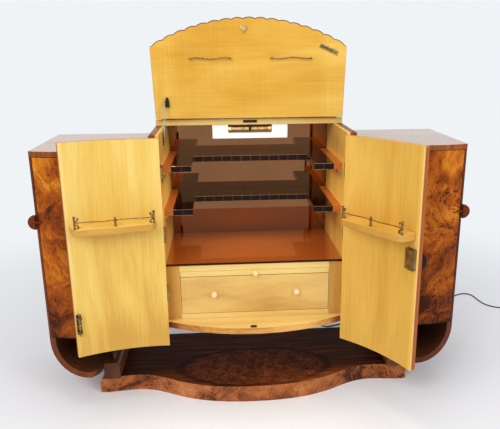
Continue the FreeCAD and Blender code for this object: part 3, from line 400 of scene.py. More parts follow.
def burr(name, stops, foot=0.0, shift=(0.0, 0.0, 0.0)):
    """Burr walnut: drifting clouds, combed fibres that follow them and clusters of small eyes.
    foot is how much painted shade darkens the leaf toward the floor."""
    made = Finish(name, stops[1][1], Coat_Weight=0.02, Coat_Roughness=0.1, Specular_IOR_Level=0.09)
    where = made.place() + Vector(shift)
    bent = warped(made, where, 4.5, 0.26)
    clouds = made.noise(bent, 7.5, 6.0, 0.62, 0.8)
    fibres = made.noise(bent * Vector((150.0, 150.0, 17.0)), 1.0, 3.0, 0.6)
    cells = made.node("ShaderNodeTexVoronoi", values={"Vector": bent, "Scale": 62.0}, output="Distance")
    clusters = made.noise(where, 5.0, 2.0).ease(0.46, 0.62)
    value = clouds * 1.05 + (fibres - 0.5) * 0.34 - cells.ease(0.1, 0.45, 0.20, 0.0) * clusters
    # Painted shade: the leaf is darkened toward the floor by foot, where less light reaches it.
    value = value + made.axis("Z").ease(0.25, 0.80, -foot, 0.0)
    return made.color(value, *stops).handled(0.26, 0.14).bump(value, 0.0002).material


def deck_figure():
    """Dark straight-grained deck with an oval of burr in the middle, edged by a darker line, and painted
    paler toward its front as painted light.
    """
    made = Finish("deck", (0.05, 0.015, 0.006), Specular_IOR_Level=0.02)
    where = made.place()
    bent = warped(made, where, 6.0, 0.05)
    oval = ((bent - Vector((0.0, -0.10, 0.06))) * Vector((3.4, 7.0, 0.0))).length()
    inside = oval.ease(1.0, 0.9)
    swirl = made.noise(bent, 34.0, 6.0, 0.66, 1.2)
    grain = made.noise(where * Vector((5.0, 95.0, 5.0)), 1.0, 4.0, 0.6)
    broad = made.noise(where * Vector((2.0, 6.0, 2.0)), 1.0, 2.0)
    rim = oval.ease(0.9, 1.0) * oval.ease(1.08, 1.0)
    # Painted light: the deck grows paler toward its front, and stays darker behind as painted shade under the
    # cabinet.
    painted_front_light = made.axis("Y").ease(-0.08, -0.22, 0.0, 0.34) * broad.ease(0.35, 0.6, 0.3, 1.0)
    figure = swirl * inside * 0.9 + grain * (1.0 - inside) * 0.75 - rim * 0.14
    made.color(figure + painted_front_light * (1.0 - inside * 0.6),
               (0.20, (0.014, 0.004, 0.002)), (0.40, (0.046, 0.011, 0.003)), (0.58, (0.150, 0.036, 0.008)),
               (0.75, (0.300, 0.095, 0.020)))
    return made.handled(0.42, 0.16).material


def plinth_faces(normal, centre):
    if normal.z > 0.7:
        return 1
    return 0 if normal.y < 0.5 and normal.z > -0.7 else 2


foot_burr = burr("foot_burr", [(0.33, (0.060, 0.018, 0.007)), (0.46, (0.230, 0.066, 0.022)),
                               (0.58, (0.390, 0.122, 0.038)), (0.74, (0.600, 0.230, 0.075))],
                 shift=(1.3, 0.4, 0.9))
shadow_walnut = walnut("shadow_walnut", (0.030, 0.010, 0.005), (0.085, 0.028, 0.011), (0.16, 0.055, 0.020),
                       "x", streak=120.0, rough=0.5)
dressed("plinth", 0.003, [foot_burr, deck_figure(), shadow_walnut], plinth_faces)
# The bearers' walnut is painted darker as painted shade, for their place under the wings.
support_walnut = walnut("support_walnut", (0.045, 0.014, 0.006), (0.120, 0.038, 0.014), (0.22, 0.075, 0.026),
                        "y", streak=120.0)
dressed("wing_supports", 0.005, [support_walnut, shadow_walnut],
        lambda normal, centre: 1 if abs(centre.x) > 0.52 and centre.z > 0.14 else 0)


# ---------------------------------------------------------------- wings
# Each wing is one leaf bent from the side round under the floor, faced with burr walnut that is
# painted darker toward the floor as painted shade, with painted shade along its front edge, then
# closed by a polished top that is pale partly from painted glare, a floor, a back and a stile.
BURR = [(0.27, (0.050, 0.010, 0.002)), (0.41, (0.21, 0.041, 0.004)), (0.54, (0.42, 0.094, 0.005)),
        (0.70, (0.66, 0.235, 0.016))]
# 0.16 is the painted shade that darkens the wings' burr toward the floor.
wing_burr = burr("wing_burr", BURR, 0.16)
banding = walnut("banding", (0.080, 0.017, 0.004), (0.235, 0.055, 0.011), (0.42, 0.125, 0.022), "z",
                 streak=150.0, mottle=0.35)
# Walnut for the bent leaf's front edge, painted darker as painted shade.
bend_edge = walnut("bend_edge", (0.040, 0.009, 0.002), (0.115, 0.024, 0.005), (0.22, 0.056, 0.010), "z",
                   streak=150.0, mottle=0.35)
# Polished walnut for the tops, painted pale and greyish-pink: partly its own colour, partly painted glare.
top_walnut = walnut("top_walnut", (0.26, 0.130, 0.068), (0.42, 0.225, 0.125), (0.56, 0.320, 0.190), "x",
                    streak=120.0, coat=0.9, rough=0.3)


def cradle_faces(normal, centre):
    """Outer sides figured; the bend's inside and its front edge dark, as painted shade; back plain."""
    if normal.y < -0.6:
        return 1
    if normal.y > 0.9:
        return 2
    out = math.copysign(1.0, centre.x) * normal.x
    return 0 if out > 0.2 or (centre.z < 0.2 and normal.z < -0.2) else 2


def top_faces(normal, centre):
    if normal.z > 0.7:
        return 0
    return 1 if normal.y < 0.9 and normal.z > -0.7 else 2


for side in ("left", "right"):
    dressed("side_cradle_" + side, 0.0012, [wing_burr, bend_edge, shadow_walnut], cradle_faces)
dressed("wing_tops", 0.0012, [top_walnut, banding, shadow_walnut], top_faces)
dressed("wing_floors", 0.0008, [shadow_walnut, banding],
        lambda normal, centre: 1 if normal.y < -0.3 else 0)
dressed("wing_backs", 0.0008, [shadow_walnut])
dressed("wing_stiles", 0.0008, [banding])


# ---------------------------------------------------------------- wing doors and their pulls
# Curved doors with burr outside, pale veneer inside and banded edges, each opened by a rounded
# half disc of dark resin that stands past the wing's side on a slim neck.
def maple(name, dark, middle, pale, along, **figure):
    return veneer(name, [(0.22, dark), (0.44, middle), (0.66, pale)], along, **figure)


SIGN = {"left": -1.0, "right": 1.0}
wing_axis, wing_mid_radius = (0.629, 0.118), 0.325
lining_maple = maple("lining_maple", (0.60, 0.300, 0.045), (0.78, 0.450, 0.090), (0.88, 0.560, 0.150), "z",
                     streak=240.0, ripple=0.2, rough=0.3)
pull_resin = resin("pull_resin", (0.090, 0.016, 0.003), (0.18, 0.036, 0.007), 0.3, 0.05)


def wing_faces(normal, centre):
    reach = centre.xy - Vector((math.copysign(wing_axis[0], centre.x), wing_axis[1]))
    facing = normal.xy.dot(reach.normalized()) if normal.xy.length > 0.5 else 0.0
    if facing > 0.8 and reach.length > wing_mid_radius:
        return 0
    return 1 if facing < -0.8 else 2


pull_x, pull_z, pull_radius, pull_front = 0.7482, 0.705, 0.0257, -0.2061
neck_x, neck_half, neck_taper = 0.7275, 0.004, 0.45
pull_steps = 32
ROUNDING = ((0.0030, 0.0), (0.0012, 0.0008), (0.0, 0.0030), (0.0, 0.0100), (0.0012, 0.0122), (0.0030, 0.0130))
for side in ("left", "right"):
    dressed("wing_door_" + side, 0.0012, [wing_burr, lining_maple, banding], wing_faces)
    form = bmesh.new()
    rings = []
    for inset, depth in ROUNDING:
        radius = pull_radius - inset
        rings.append([form.verts.new((pull_x + max(radius * math.cos(t), 0.0), pull_front + depth,
                                      pull_z + radius * math.sin(t)))
                      for t in (math.pi * (i / pull_steps - 0.5) for i in range(pull_steps + 1))])
    skinned(form, rings)
    neck = boxed(form, (neck_x, pull_front + 0.0035, pull_z - neck_half),
                 (pull_x + 0.0002, pull_front + 0.0105, pull_z + neck_half))
    for vertex in neck:
        if vertex.co.x < pull_x:
            vertex.co.z = pull_z + (vertex.co.z - pull_z) * neck_taper
    for vertex in form.verts:
        vertex.co.x *= SIGN[side]
    finished(form, "wing_pull_round_" + side, "wing_" + side, [pull_resin], "wing_pull_" + side)


# ---------------------------------------------------------------- butt hinges of all four doors
# Drawn brass butts: a barrel in five knuckles on a pin with a button at each end, and two thin
# leaves, the outer one held by countersunk screws with slotted heads.
class Pattern(Bench):
    """A repeat made by Geometry Nodes from points, with named sizes."""

    KINDS = {int: "NodeSocketInt", float: "NodeSocketFloat", tuple: "NodeSocketVector"}

    def __init__(self, name, **sizes):
        super().__init__(bpy.data.node_groups.new(name, "GeometryNodeTree"))
        face = self.tree.interface
        face.new_socket("Points", in_out="INPUT", socket_type="NodeSocketGeometry")
        for key, value in sizes.items():
            face.new_socket(key, in_out="INPUT", socket_type=self.KINDS[type(value)]).default_value = value
        face.new_socket("Material", in_out="INPUT", socket_type="NodeSocketMaterial")
        face.new_socket("Mesh", in_out="OUTPUT", socket_type="NodeSocketGeometry")
        self.given = self.tree.nodes.new("NodeGroupInput")

    def size(self, name):
        return Wire(self, self.given.outputs[name])

    def vector(self, **parts):
        return self.node("ShaderNodeCombineXYZ", values=parts)

    def cylinder(self, sides, radius, depth):
        values = {"Vertices": sides, "Radius": radius, "Depth": depth}
        return self.node("GeometryNodeMeshCylinder", values=values)

    def joined(self, *parts):
        return self.node("GeometryNodeJoinGeometry", values={"Geometry": list(parts)})

    def moved(self, geometry, **how):
        return self.node("GeometryNodeTransform", values={"Geometry": geometry, **how})

    def repeated(self, points, instance, **how):
        values = {"Points": points, "Instance": instance, **how}
        return self.node("GeometryNodeInstanceOnPoints", values=values)

    def end(self, mesh):
        """Makes the copies real, gives them the finish and puts them out."""
        real = self.node("GeometryNodeRealizeInstances", values={"Geometry": mesh})
        values = {"Geometry": real, "Material": self.size("Material")}
        self.node("NodeGroupOutput", values={"Mesh": self.node("GeometryNodeSetMaterial", values=values)})

    def make(self, name, points, finish, facing=None, **sizes):
        """Runs the pattern over some points and gives the plain mesh that it makes."""
        seed = bpy.data.meshes.new(name)
        seed.from_pydata([tuple(p) for p in points], [], [])
        if facing:
            ways = seed.attributes.new("facing", "FLOAT_VECTOR", "POINT")
            for one, way in zip(ways.data, facing):
                one.vector = way
        holder = linked(name + "_points", seed)
        repeat = holder.modifiers.new("repeat", "NODES")
        repeat.node_group = self.tree
        for socket in self.tree.interface.items_tree:
            if socket.in_out == "INPUT" and socket.name in sizes:
                repeat[socket.identifier] = sizes[socket.name]
            elif socket.name == "Material":
                repeat[socket.identifier] = finish
        mesh = bpy.data.meshes.new_from_object(holder.evaluated_get(bpy.context.evaluated_depsgraph_get()))
        holder.modifiers.remove(repeat)
        bpy.data.objects.remove(holder)
        form = bmesh.new()
        form.from_mesh(mesh)
        bmesh.ops.remove_doubles(form, verts=form.verts, dist=0.000005)
        bmesh.ops.holes_fill(form, edges=[e for e in form.edges if e.is_boundary], sides=0)
        bpy.data.meshes.remove(mesh)
        return form


# One knuckle, repeated up each barrel, with a thinner pin through all five.
button_height = 0.0022
barrel = Pattern("knuckled_barrel", Radius=0.0055, Length=0.0600, Gap=0.0005, Knuckles=5)
radius, length = barrel.size("Radius"), barrel.size("Length")
step = (length - 2 * button_height) / barrel.size("Knuckles")
knuckle = barrel.cylinder(24, radius, step - barrel.size("Gap"))
row = barrel.node("GeometryNodeMeshLine", values={
    "Count": barrel.size("Knuckles"), "Start Location": barrel.vector(Z=step * 0.5 + button_height),
    "Offset": barrel.vector(Z=step)})
pin = barrel.joined(barrel.cylinder(20, radius * 0.82, length - 0.0012),
                    barrel.cylinder(20, radius * 0.6, length))
core = barrel.moved(pin, Translation=barrel.vector(Z=length * 0.5))
whole = barrel.joined(barrel.repeated(row, knuckle), core)
barrel.end(barrel.repeated(barrel.size("Points"), whole))

# A screw head is two half discs with the slot between them, turned to face out of its plate.
heads = Pattern("slotted_heads", Radius=0.0028, Height=0.0006, Slot=0.0006)
rim = heads.node("GeometryNodeCurveArc", {"mode": "RADIUS"}, {
    "Resolution": 9, "Radius": heads.size("Radius"), "Start Angle": 0.0, "Sweep Angle": math.pi})
rim = heads.node("GeometryNodeSetSplineCyclic", values={"Geometry": rim, "Cyclic": True})
half = heads.node("GeometryNodeExtrudeMesh", values={
    "Mesh": heads.node("GeometryNodeFillCurve", values={"Curve": rim}), "Offset Scale": heads.size("Height"),
    "Individual": False})
upper = heads.moved(half, Translation=heads.vector(Y=heads.size("Slot") * 0.5))
lower = heads.moved(upper, Rotation=(0.0, 0.0, math.pi))
way = heads.node("GeometryNodeInputNamedAttribute", {"data_type": "FLOAT_VECTOR"}, {"Name": "facing"})
aim = heads.node("FunctionNodeAlignRotationToVector", {"axis": "Z"}, {"Vector": way})
heads.end(heads.repeated(heads.size("Points"), heads.joined(upper, lower), Rotation=aim))

butt_height, butt_inset = 0.060, 0.090


def butts(bottom, top):
    """The foot and top of each of a door's three butts."""
    feet = (bottom + butt_inset, (bottom + top - butt_height) / 2, top - butt_inset - butt_height)
    return [(foot, foot + butt_height) for foot in feet]


# What follows a hinge's name is its pin's place, its heights and how far each leaf reaches out
# and back.
pin_x, pin_y, leaf_front = 0.314, -0.219, -0.2061
door_butts = butts(0.316, 0.988)
for name, x, y, heights, leaves in (
        ("door", pin_x, pin_y, door_butts, ((0.3165, 0.3195, -0.2185, -0.2052),
                                            (0.3195, 0.3395, leaf_front, -0.2051))),
        ("wing", 0.3702, -0.0869, butts(0.270, 0.929), ((0.3641, 0.3651, -0.0865, -0.0590),))):
    feet = [(sign * x, y, low) for sign in (-1, 1) for low, _ in heights]
    form = barrel.make(name + "_barrels", feet, brass)
    finished(form, name + "_hinge_barrels", "cabinet", [brass], name + "_hinges")
    form = bmesh.new()
    for sign in (-1, 1):
        for low, high in heights:
            for near, far, front, back in leaves:
                inner, outer = sorted((sign * near, sign * far))
                boxed(form, (inner, front, low + 0.001), (outer, back, high - 0.001))
    finished(form, name + "_hinge_leaves", "cabinet", [brass])
spots = [(sign * 0.3312, leaf_front, z) for sign in (-1, 1) for low, high in door_butts
         for z in (low + 0.010, (low + high) / 2, high - 0.010)]
form = heads.make("hinge_screws", spots, brass, [(0, -1, 0)] * len(spots))
finished(form, "hinge_screws", "cabinet", [brass])


# ---------------------------------------------------------------- centre carcase
# Two sides, a back and a rear strip, lined inside with pale figured veneer. Below, a bowed board
# and a framed fascia hold the drawer and the slide. The bow's front edge reddens at its ends.
def past_edge(made, valley=0.6939, rise=0.005, sweep=1.0474, lobes=17):
    """How far a spot lies past the lid's scalloped edge, whose lobes are set along an arc."""
    spot = (made.place() - Vector((0.0, 0.0, 0.6814))) * Vector((1.0, 0.0, 1.0))
    across, up = (made.axis(letter, spot) for letter in "XZ")
    angle = across.math("ARCTAN2", across, up) * (math.pi * lobes / sweep) + math.pi * lobes / 2
    return spot.length() - abs(angle.math("SINE", angle)) * rise - valley


walnut_z = walnut("walnut_z", (0.060, 0.015, 0.004), (0.19, 0.050, 0.010), (0.36, 0.110, 0.020), "z",
                  streak=190.0)
walnut_x = walnut("walnut_x", (0.070, 0.022, 0.008), (0.165, 0.055, 0.018), (0.28, 0.105, 0.034), "x",
                  streak=190.0)
lid_maple = veneer("lid_maple", [(0.0, (0.110, 0.045, 0.045)), (0.12, (0.50, 0.235, 0.020)),
                                 (0.44, (0.67, 0.353, 0.040)), (0.72, (0.80, 0.500, 0.095))],
                   "x", streak=200.0, ripple=0.34, mottle=0.30, fibre_depth=0.34,
                   fades=(("|X", 0.24, 0.31, 0.12), ("Z", 1.16, 1.03, 0.12),
                          (past_edge, -0.0034, -0.0024, -1.2)))
fascia_maple = maple("fascia_maple", (0.62, 0.370, 0.090), (0.78, 0.545, 0.175), (0.87, 0.650, 0.250), "x",
                     streak=170.0, ripple=0.15, mottle=0.2, fibre_depth=0.3)
fascia_edge = veneer("fascia_edge", [(0.10, (0.25, 0.050, 0.010)), (0.30, (0.44, 0.170, 0.030)),
                                     (0.46, (0.72, 0.390, 0.096)), (0.66, (0.82, 0.500, 0.150))],
                     "x", streak=170.0, mottle=0.3, fibre_depth=0.4,
                     fades=(("|X", 0.12, 0.268, -0.08), ("|X", 0.268, 0.300, -0.26)))
stile_maple = maple("stile_maple", (0.40, 0.178, 0.024), (0.56, 0.280, 0.052), (0.68, 0.380, 0.090), "z",
                    streak=200.0, ripple=0.1, mottle=0.2, fibre_depth=0.35)
dressed("centre_sides", 0.0012, [walnut_z, banding, lining_maple],
        lambda normal, centre: 1 if normal.y < -0.7 or normal.z > 0.7 else 0)
dressed("side_linings", 0.0008, [lining_maple])
dressed("centre_back", 0.0008, [shadow_walnut])
# The rear strip's front and underside take the paler fascia maple as painted light, lifting them out of the
# shade beneath the lid.
dressed("rear_strip", 0.0012, [top_walnut, banding, fascia_maple],
        lambda normal, centre: 2 if normal.y < -0.7 or normal.z < -0.7 else top_faces(normal, centre))
dressed("floor_board", 0.0006, [shadow_walnut])
dressed("fascia_frame", 0.0006, [fascia_maple, stile_maple],
        lambda normal, centre: 1 if abs(centre.x) > 0.2715 else 0)
dressed("bow_board", 0.0015, [fascia_maple, fascia_edge],
        lambda normal, centre: 1 if normal.y < -0.3 else 0)
bronzed = metal("bronzed_steel", (0.012, 0.009, 0.007), (0.035, 0.026, 0.018), (0.085, 0.060, 0.038),
                grain=200.0, rough=0.35, spread=0.2)
dressed("strike_plate", 0.0002, [bronzed])


# ---------------------------------------------------------------- mirror, shelves and glass floor
# The back is one sheet of bronze mirror. Each shelf is wood faced with short panes of the same
# glass, its ends painted orange and matte as a painted reflection of the doors' pale veneer and its
# front bevels given a painted highlight, and the floor is amber glass with dark ground edges.
def bloomed(made, clean, dull):
    """A faint bloom on glass, and the roughness that it gives here and there."""
    bloom = made.noise(made.place(), 9.0, 4.0, 0.6)
    return bloom, bloom.ease(0.45, 0.8, clean, dull)


def mirror_glass(name, color, dull):
    """Tinted mirror glass."""
    made = Finish(name, color, Metallic=1.0)
    bloom, rough = bloomed(made, 0.02, dull)
    made.use("Roughness", rough)
    return made.color(bloom, (0.3, color), (0.8, tuple(c * 1.15 for c in color))).material


def faced_shelf():
    """Panes with bright joints between them, and past their ends a painted reflection of the doors' pale
    veneer.
    """
    shine, half_pane = 0.85, 0.018
    made = Finish("bronze_mirror", (0.07, 0.03, 0.018), Metallic=shine)
    x = made.axis("X")
    joints = x.math("PINGPONG", x, half_pane).ease(0.0009, 0.0002, 0.0, 0.34)
    # Painted reflection: past |x| 0.287 the panes turn orange, matte and less metallic, standing for the
    # doors' veneer seen in them.
    painted_reflection = abs(x).ease(0.287, 0.290)
    reflection_streaks = made.noise(made.place() * Vector((6.0, 150.0, 150.0)), 1.0, 4.0, 0.6)
    made.use("Roughness", bloomed(made, 0.05, 0.16)[1] + painted_reflection * 0.3)
    made.use("Metallic", shine - painted_reflection * shine)
    return made.color(joints * (1.0 - painted_reflection) + painted_reflection * (reflection_streaks * 0.3 + 0.6),
                      (0.0, (0.016, 0.007, 0.005)), (0.34, (0.17, 0.085, 0.045)),
                      (0.62, (0.34, 0.070, 0.010)), (0.80, (0.56, 0.150, 0.022))).material


def amber_floor():
    """A warm body colour under a glossy skin, dark where the sheet meets the mirror."""
    made = Finish("amber_glass", (0.40, 0.12, 0.025), Metallic=0.35, Coat_Weight=0.7, Coat_Roughness=0.03)
    bloom, rough = bloomed(made, 0.06, 0.16)
    made.use("Roughness", rough)
    return made.color(made.axis("Y").ease(0.1875, 0.1890) * 0.8 + (bloom - 0.5) * 0.2,
                      (0.0, (0.45, 0.105, 0.016)), (0.2, (0.37, 0.076, 0.010)),
                      (0.7, (0.02, 0.008, 0.004))).material


glass_edge = mirror_glass("glass_edge", (0.030, 0.012, 0.007), 0.2)
dressed("back_mirror", 0.0004, [mirror_glass("back_glass", (0.235, 0.104, 0.046), 0.06)])
# The bevel faces along each shelf's front take a pale mirror as a painted highlight.
dressed("shelves", 0.0008, [faced_shelf(), mirror_glass("bright_edge", (0.62, 0.36, 0.18), 0.2)],
        lambda normal, centre: 1 if normal.y < -0.2 and 0.25 < abs(normal.z) < 0.95 else 0)
dressed("shelf_cleats", 0.0006, [lining_maple])
dressed("glass_floor", 0.0006, [amber_floor(), glass_edge],
        lambda normal, centre: 1 if normal.y < -0.7 else 0)


# ---------------------------------------------------------------- lamp
# A strip lamp behind an opal glass shade that is cut away in the middle, where its gold tube
# shows on both sides of a dark bracket. The lid works a small contact plate just above it.
opal = resin("opal", (0.90, 0.90, 0.87), (0.86, 0.86, 0.82), 0.22)
opal_surface = opal.node_tree.nodes["Principled BSDF"]
opal_surface.inputs["Emission Color"].default_value = (1.0, 0.98, 0.93, 1.0)
opal_surface.inputs["Emission Strength"].default_value = 0.12
bright_brass = metal("bright_brass", (0.36, 0.21, 0.06), (0.78, 0.52, 0.20), (0.95, 0.74, 0.40),
                     grain=60.0, rough=0.16, spread=0.12)
dressed("lamp_shade", 0.003, [opal])
dressed("lamp_fitting", 0.0005, [bright_brass, bronzed],
        lambda normal, centre: 1 if abs(centre.x) < 0.0074 else 0)
dressed("lamp_switch", 0.0003, [bronzed])

# ---------------------------------------------------------------- drawer and slide
# One drawer with a boldly figured pale front, on plain guides, and above it the slide: a thin
# board that pulls out to stand glasses on. Their three knobs are turned from cream resin.
drawer_figure = maple("drawer_figure", (0.55, 0.300, 0.066), (0.71, 0.450, 0.132), (0.82, 0.560, 0.200), "x",
                      streak=30.0, ripple=0.14, mottle=0.60, fibre_depth=0.42)
box_wood = maple("box_wood", (0.40, 0.230, 0.100), (0.58, 0.370, 0.180), (0.68, 0.460, 0.250), "y",
                 streak=150.0, coat=0.0, rough=0.55)
cream = resin("cream_resin", (0.88, 0.70, 0.42), (0.80, 0.58, 0.30))
dressed("drawer_and_slide_guides", 0.0006, [box_wood])
dressed("drawer_front", 0.0012, [drawer_figure])
dressed("drawer_box", 0.0008, [box_wood])
dressed("slide_board", 0.001, [fascia_maple])
KNOB = [(0.0, 0.70), (0.0015, 0.74), (0.003, 0.55), (0.005, 0.46), (0.008, 0.46), (0.0105, 0.62),
        (0.0125, 0.90), (0.0145, 0.99), (0.0165, 1.0), (0.0185, 0.93), (0.0205, 0.76), (0.0220, 0.55),
        (0.0230, 0.30), (0.0234, 0.02)]
fascia_y = -0.185
form = bmesh.new()
for x in (-0.150, 0.150):
    turned(form, KNOB, (x, fascia_y, 0.4145), (0, -1, 0), girth=0.0109)
finished(form, "drawer_knobs_turned", "drawer", [cream], "drawer_knobs")
form = bmesh.new()
turned(form, KNOB, (0.0, fascia_y, 0.4915), (0, -1, 0), girth=0.0092)
finished(form, "slide_knob_turned", "slide", [cream], "slide_knob")

# ---------------------------------------------------------------- centre doors and their ledges
# Bowed doors, burr outside and pale figured veneer inside, with a pale lip round the inner face
# and red-brown edges. Each stands open on its pins and carries a solid ledge with a rounded front.
bow_radius, bow_y, door_thickness = 0.672, 0.387, 0.022
inner_reach, outer_reach = 0.675, 0.69
OPEN = {"left": 154.5, "right": 112.5}


def opened(side, point):
    """Carries a point of a shut right-hand door to where the open door of either side has it."""
    turn = Matrix.Rotation(math.radians(OPEN[side]), 3, "Z")
    hinge = Vector((pin_x, pin_y, 0.0))
    place = turn @ (Vector(point) - hinge) + hinge
    return Vector((place.x * SIGN[side], place.y, place.z))


def bow(x):
    return bow_y - math.sqrt(bow_radius ** 2 - x * x)


def in_plan(made, x, y):
    """Distance in plan from an upright line."""
    return ((made.place() - Vector((x, y, 0.0))) * Vector((1.0, 1.0, 0.0))).length()


def lipped_edge(name, middle):
    """An edge seen end on: a pale lip beside the inner face, then red-brown walnut in two leaves."""
    made = Finish(name, (0.3, 0.08, 0.02), Specular_IOR_Level=0.25)
    depth = in_plan(made, *middle)
    grain = made.noise(made.place() * Vector((160.0, 160.0, 6.0)), 1.0, 3.0, 0.6)
    across = depth.ease(bow_radius, bow_radius + door_thickness) + (grain - 0.5) * 0.10
    made.color(across, (0.20, (0.80, 0.500, 0.150)), (0.26, (0.30, 0.075, 0.014)),
               (0.56, (0.42, 0.120, 0.022)), (0.60, (0.16, 0.036, 0.008)), (0.66, (0.38, 0.100, 0.018)))
    return made.handled(0.36, 0.14).material


def from_free_edge(side):
    """Gives the distance in plan from a door's free edge, for a paler margin along it."""
    edge = opened(side, (0.001, bow(0.001), 0.0))
    return lambda made: in_plan(made, edge.x, edge.y)


# 0.10 is the painted shade that darkens the doors' burr toward the floor.
door_burr = burr("door_burr", BURR, 0.10, (0.7, 0.2, 0.4))
# The two doors share one maple: the left door's leaf is painted paler and the right's darker, as painted
# light and shade for how each open door faces the lamps. The left door's darkening toward its foot, from 0.44
# down to 0.24, is painted shade too.
door_maple = {
    side: veneer(side + "_door_maple", stops, "z", streak=170.0, ripple=0.03, mottle=0.50, fibre_depth=0.46,
                 fades=fades)
    for side, stops, fades in (
        ("left", [(0.18, (0.60, 0.330, 0.060)), (0.43, (0.75, 0.480, 0.098)), (0.74, (0.86, 0.640, 0.205))],
         (("Z", 0.30, 0.95, 0.13), ("X", -0.60, -0.76, 0.12), ("Z", 0.44, 0.24, -0.26),
          (from_free_edge("left"), 0.011, 0.008, 0.10))),
        ("right", [(0.18, (0.53, 0.262, 0.036)), (0.43, (0.67, 0.365, 0.056)), (0.70, (0.80, 0.480, 0.092))],
         (("Z", 0.45, 0.95, 0.10), (from_free_edge("right"), 0.013, 0.009, 0.30))))}
# Maple painted darker than the doors' leaf as painted shade, for the ledges' fronts and undersides and the
# doors' top and bottom edges.
ledge_maple = maple("ledge_maple", (0.44, 0.205, 0.028), (0.58, 0.300, 0.050), (0.70, 0.400, 0.086), "x",
                    streak=160.0, mottle=0.2, fibre_depth=0.3)
dark_resin = resin("dark_resin", (0.010, 0.006, 0.005), (0.024, 0.012, 0.009), 0.25, 0.03)
for side in ("left", "right"):
    middle = opened(side, (0.0, bow_y, 0.0)).xy

    def door_faces(normal, centre, middle=middle):
        reach = centre.xy - middle
        if abs(normal.z) > 0.7 or normal.xy.length < 0.5:
            return 2
        facing = normal.xy.dot(reach.normalized())
        if facing > 0.8 and reach.length > outer_reach:
            return 0
        return 1 if facing < -0.8 and reach.length < inner_reach else 3

    dressed(side + "_door", 0.0008,
            [door_burr, door_maple[side], ledge_maple, lipped_edge(side + "_edge", middle)], door_faces)
    dressed(side + "_door_ledge", 0.0025, [ledge_maple, door_maple[side]],
            lambda normal, centre: 1 if normal.z > 0.7 else 0)
    dressed(side + "_door_pull", 0.0012, [dark_resin])


# ---------------------------------------------------------------- galleries on the ledges
# A thin waved rail between two turned posts with curled arms and a stouter stay half way, all of
# toned brass, so that glasses don't slide off as the door swings.
def tube(name, points, radius, body, finish):
    """A bent wire through a few points."""
    data = bpy.data.curves.new(name, "CURVE")
    data.dimensions = "3D"
    spline = data.splines.new("BEZIER")
    spline.bezier_points.add(len(points) - 1)
    for knot, place in zip(spline.bezier_points, points):
        knot.co = place
        knot.handle_left_type = knot.handle_right_type = "AUTO"
    data.bevel_depth = radius
    data.bevel_resolution = 3
    data.resolution_u = 8
    data.use_fill_caps = True
    data.materials.append(finish)
    piece = linked(name, data)
    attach(piece, body)


# A rod that runs straight from Start to End and waves to and fro along Lift.
waved = Pattern("waved_rod", Start=(0.0, 0.0, 0.0), End=(1.0, 0.0, 0.0), Lift=(0.0, 0.0, 0.001), Waves=2.0,
                Phase=0.0, Radius=0.0017)
rod = waved.node("GeometryNodeCurvePrimitiveLine", values={
    "Start": waved.size("Start"), "End": waved.size("End")})
rod = waved.node("GeometryNodeResampleCurve", values={"Curve": rod, "Count": 41})
share = waved.node("GeometryNodeSplineParameter", output="Factor")
turns = share * waved.size("Waves") * (2 * math.pi) + waved.size("Phase")
wave = waved.node("ShaderNodeVectorMath", {"operation": "SCALE"},
                  {0: waved.size("Lift"), "Scale": turns.math("SINE", turns)})
rod = waved.node("GeometryNodeSetPosition", values={"Geometry": rod, "Offset": wave})
ring = waved.node("GeometryNodeCurvePrimitiveCircle", values={
    "Resolution": 14, "Radius": waved.size("Radius")})
waved.end(waved.node("GeometryNodeCurveToMesh", values={
    "Curve": rod, "Profile Curve": ring, "Fill Caps": True}))

toned_brass = metal("toned_brass", (0.070, 0.040, 0.011), (0.25, 0.145, 0.042), (0.52, 0.330, 0.105))
ledge_top, ledge_depth = 0.714, 0.060
free_x, far_x = 0.012, 0.276
POST = [(0.0, 0.0040), (0.0022, 0.0040), (0.0032, 0.0028), (0.009, 0.0025), (0.0105, 0.0036),
        (0.012, 0.0025), (0.030, 0.0024), (0.0315, 0.0036), (0.033, 0.0024), (0.0375, 0.0024),
        (0.0390, 0.0036), (0.0415, 0.0038), (0.0430, 0.0028), (0.0438, 0.0008)]
STAY = [(0.0, 0.0046), (0.0025, 0.0046), (0.0035, 0.0034), (0.017, 0.0032), (0.0185, 0.0044),
        (0.0235, 0.0044), (0.025, 0.0032), (0.030, 0.0034), (0.0318, 0.0014)]
post_inset, curl_root, curl_radius = 0.0114, 0.020, 0.0027
rise = Vector((0, 0, 0.021))
near_front, far_front = (bow(x) + ledge_depth for x in (free_x, far_x))
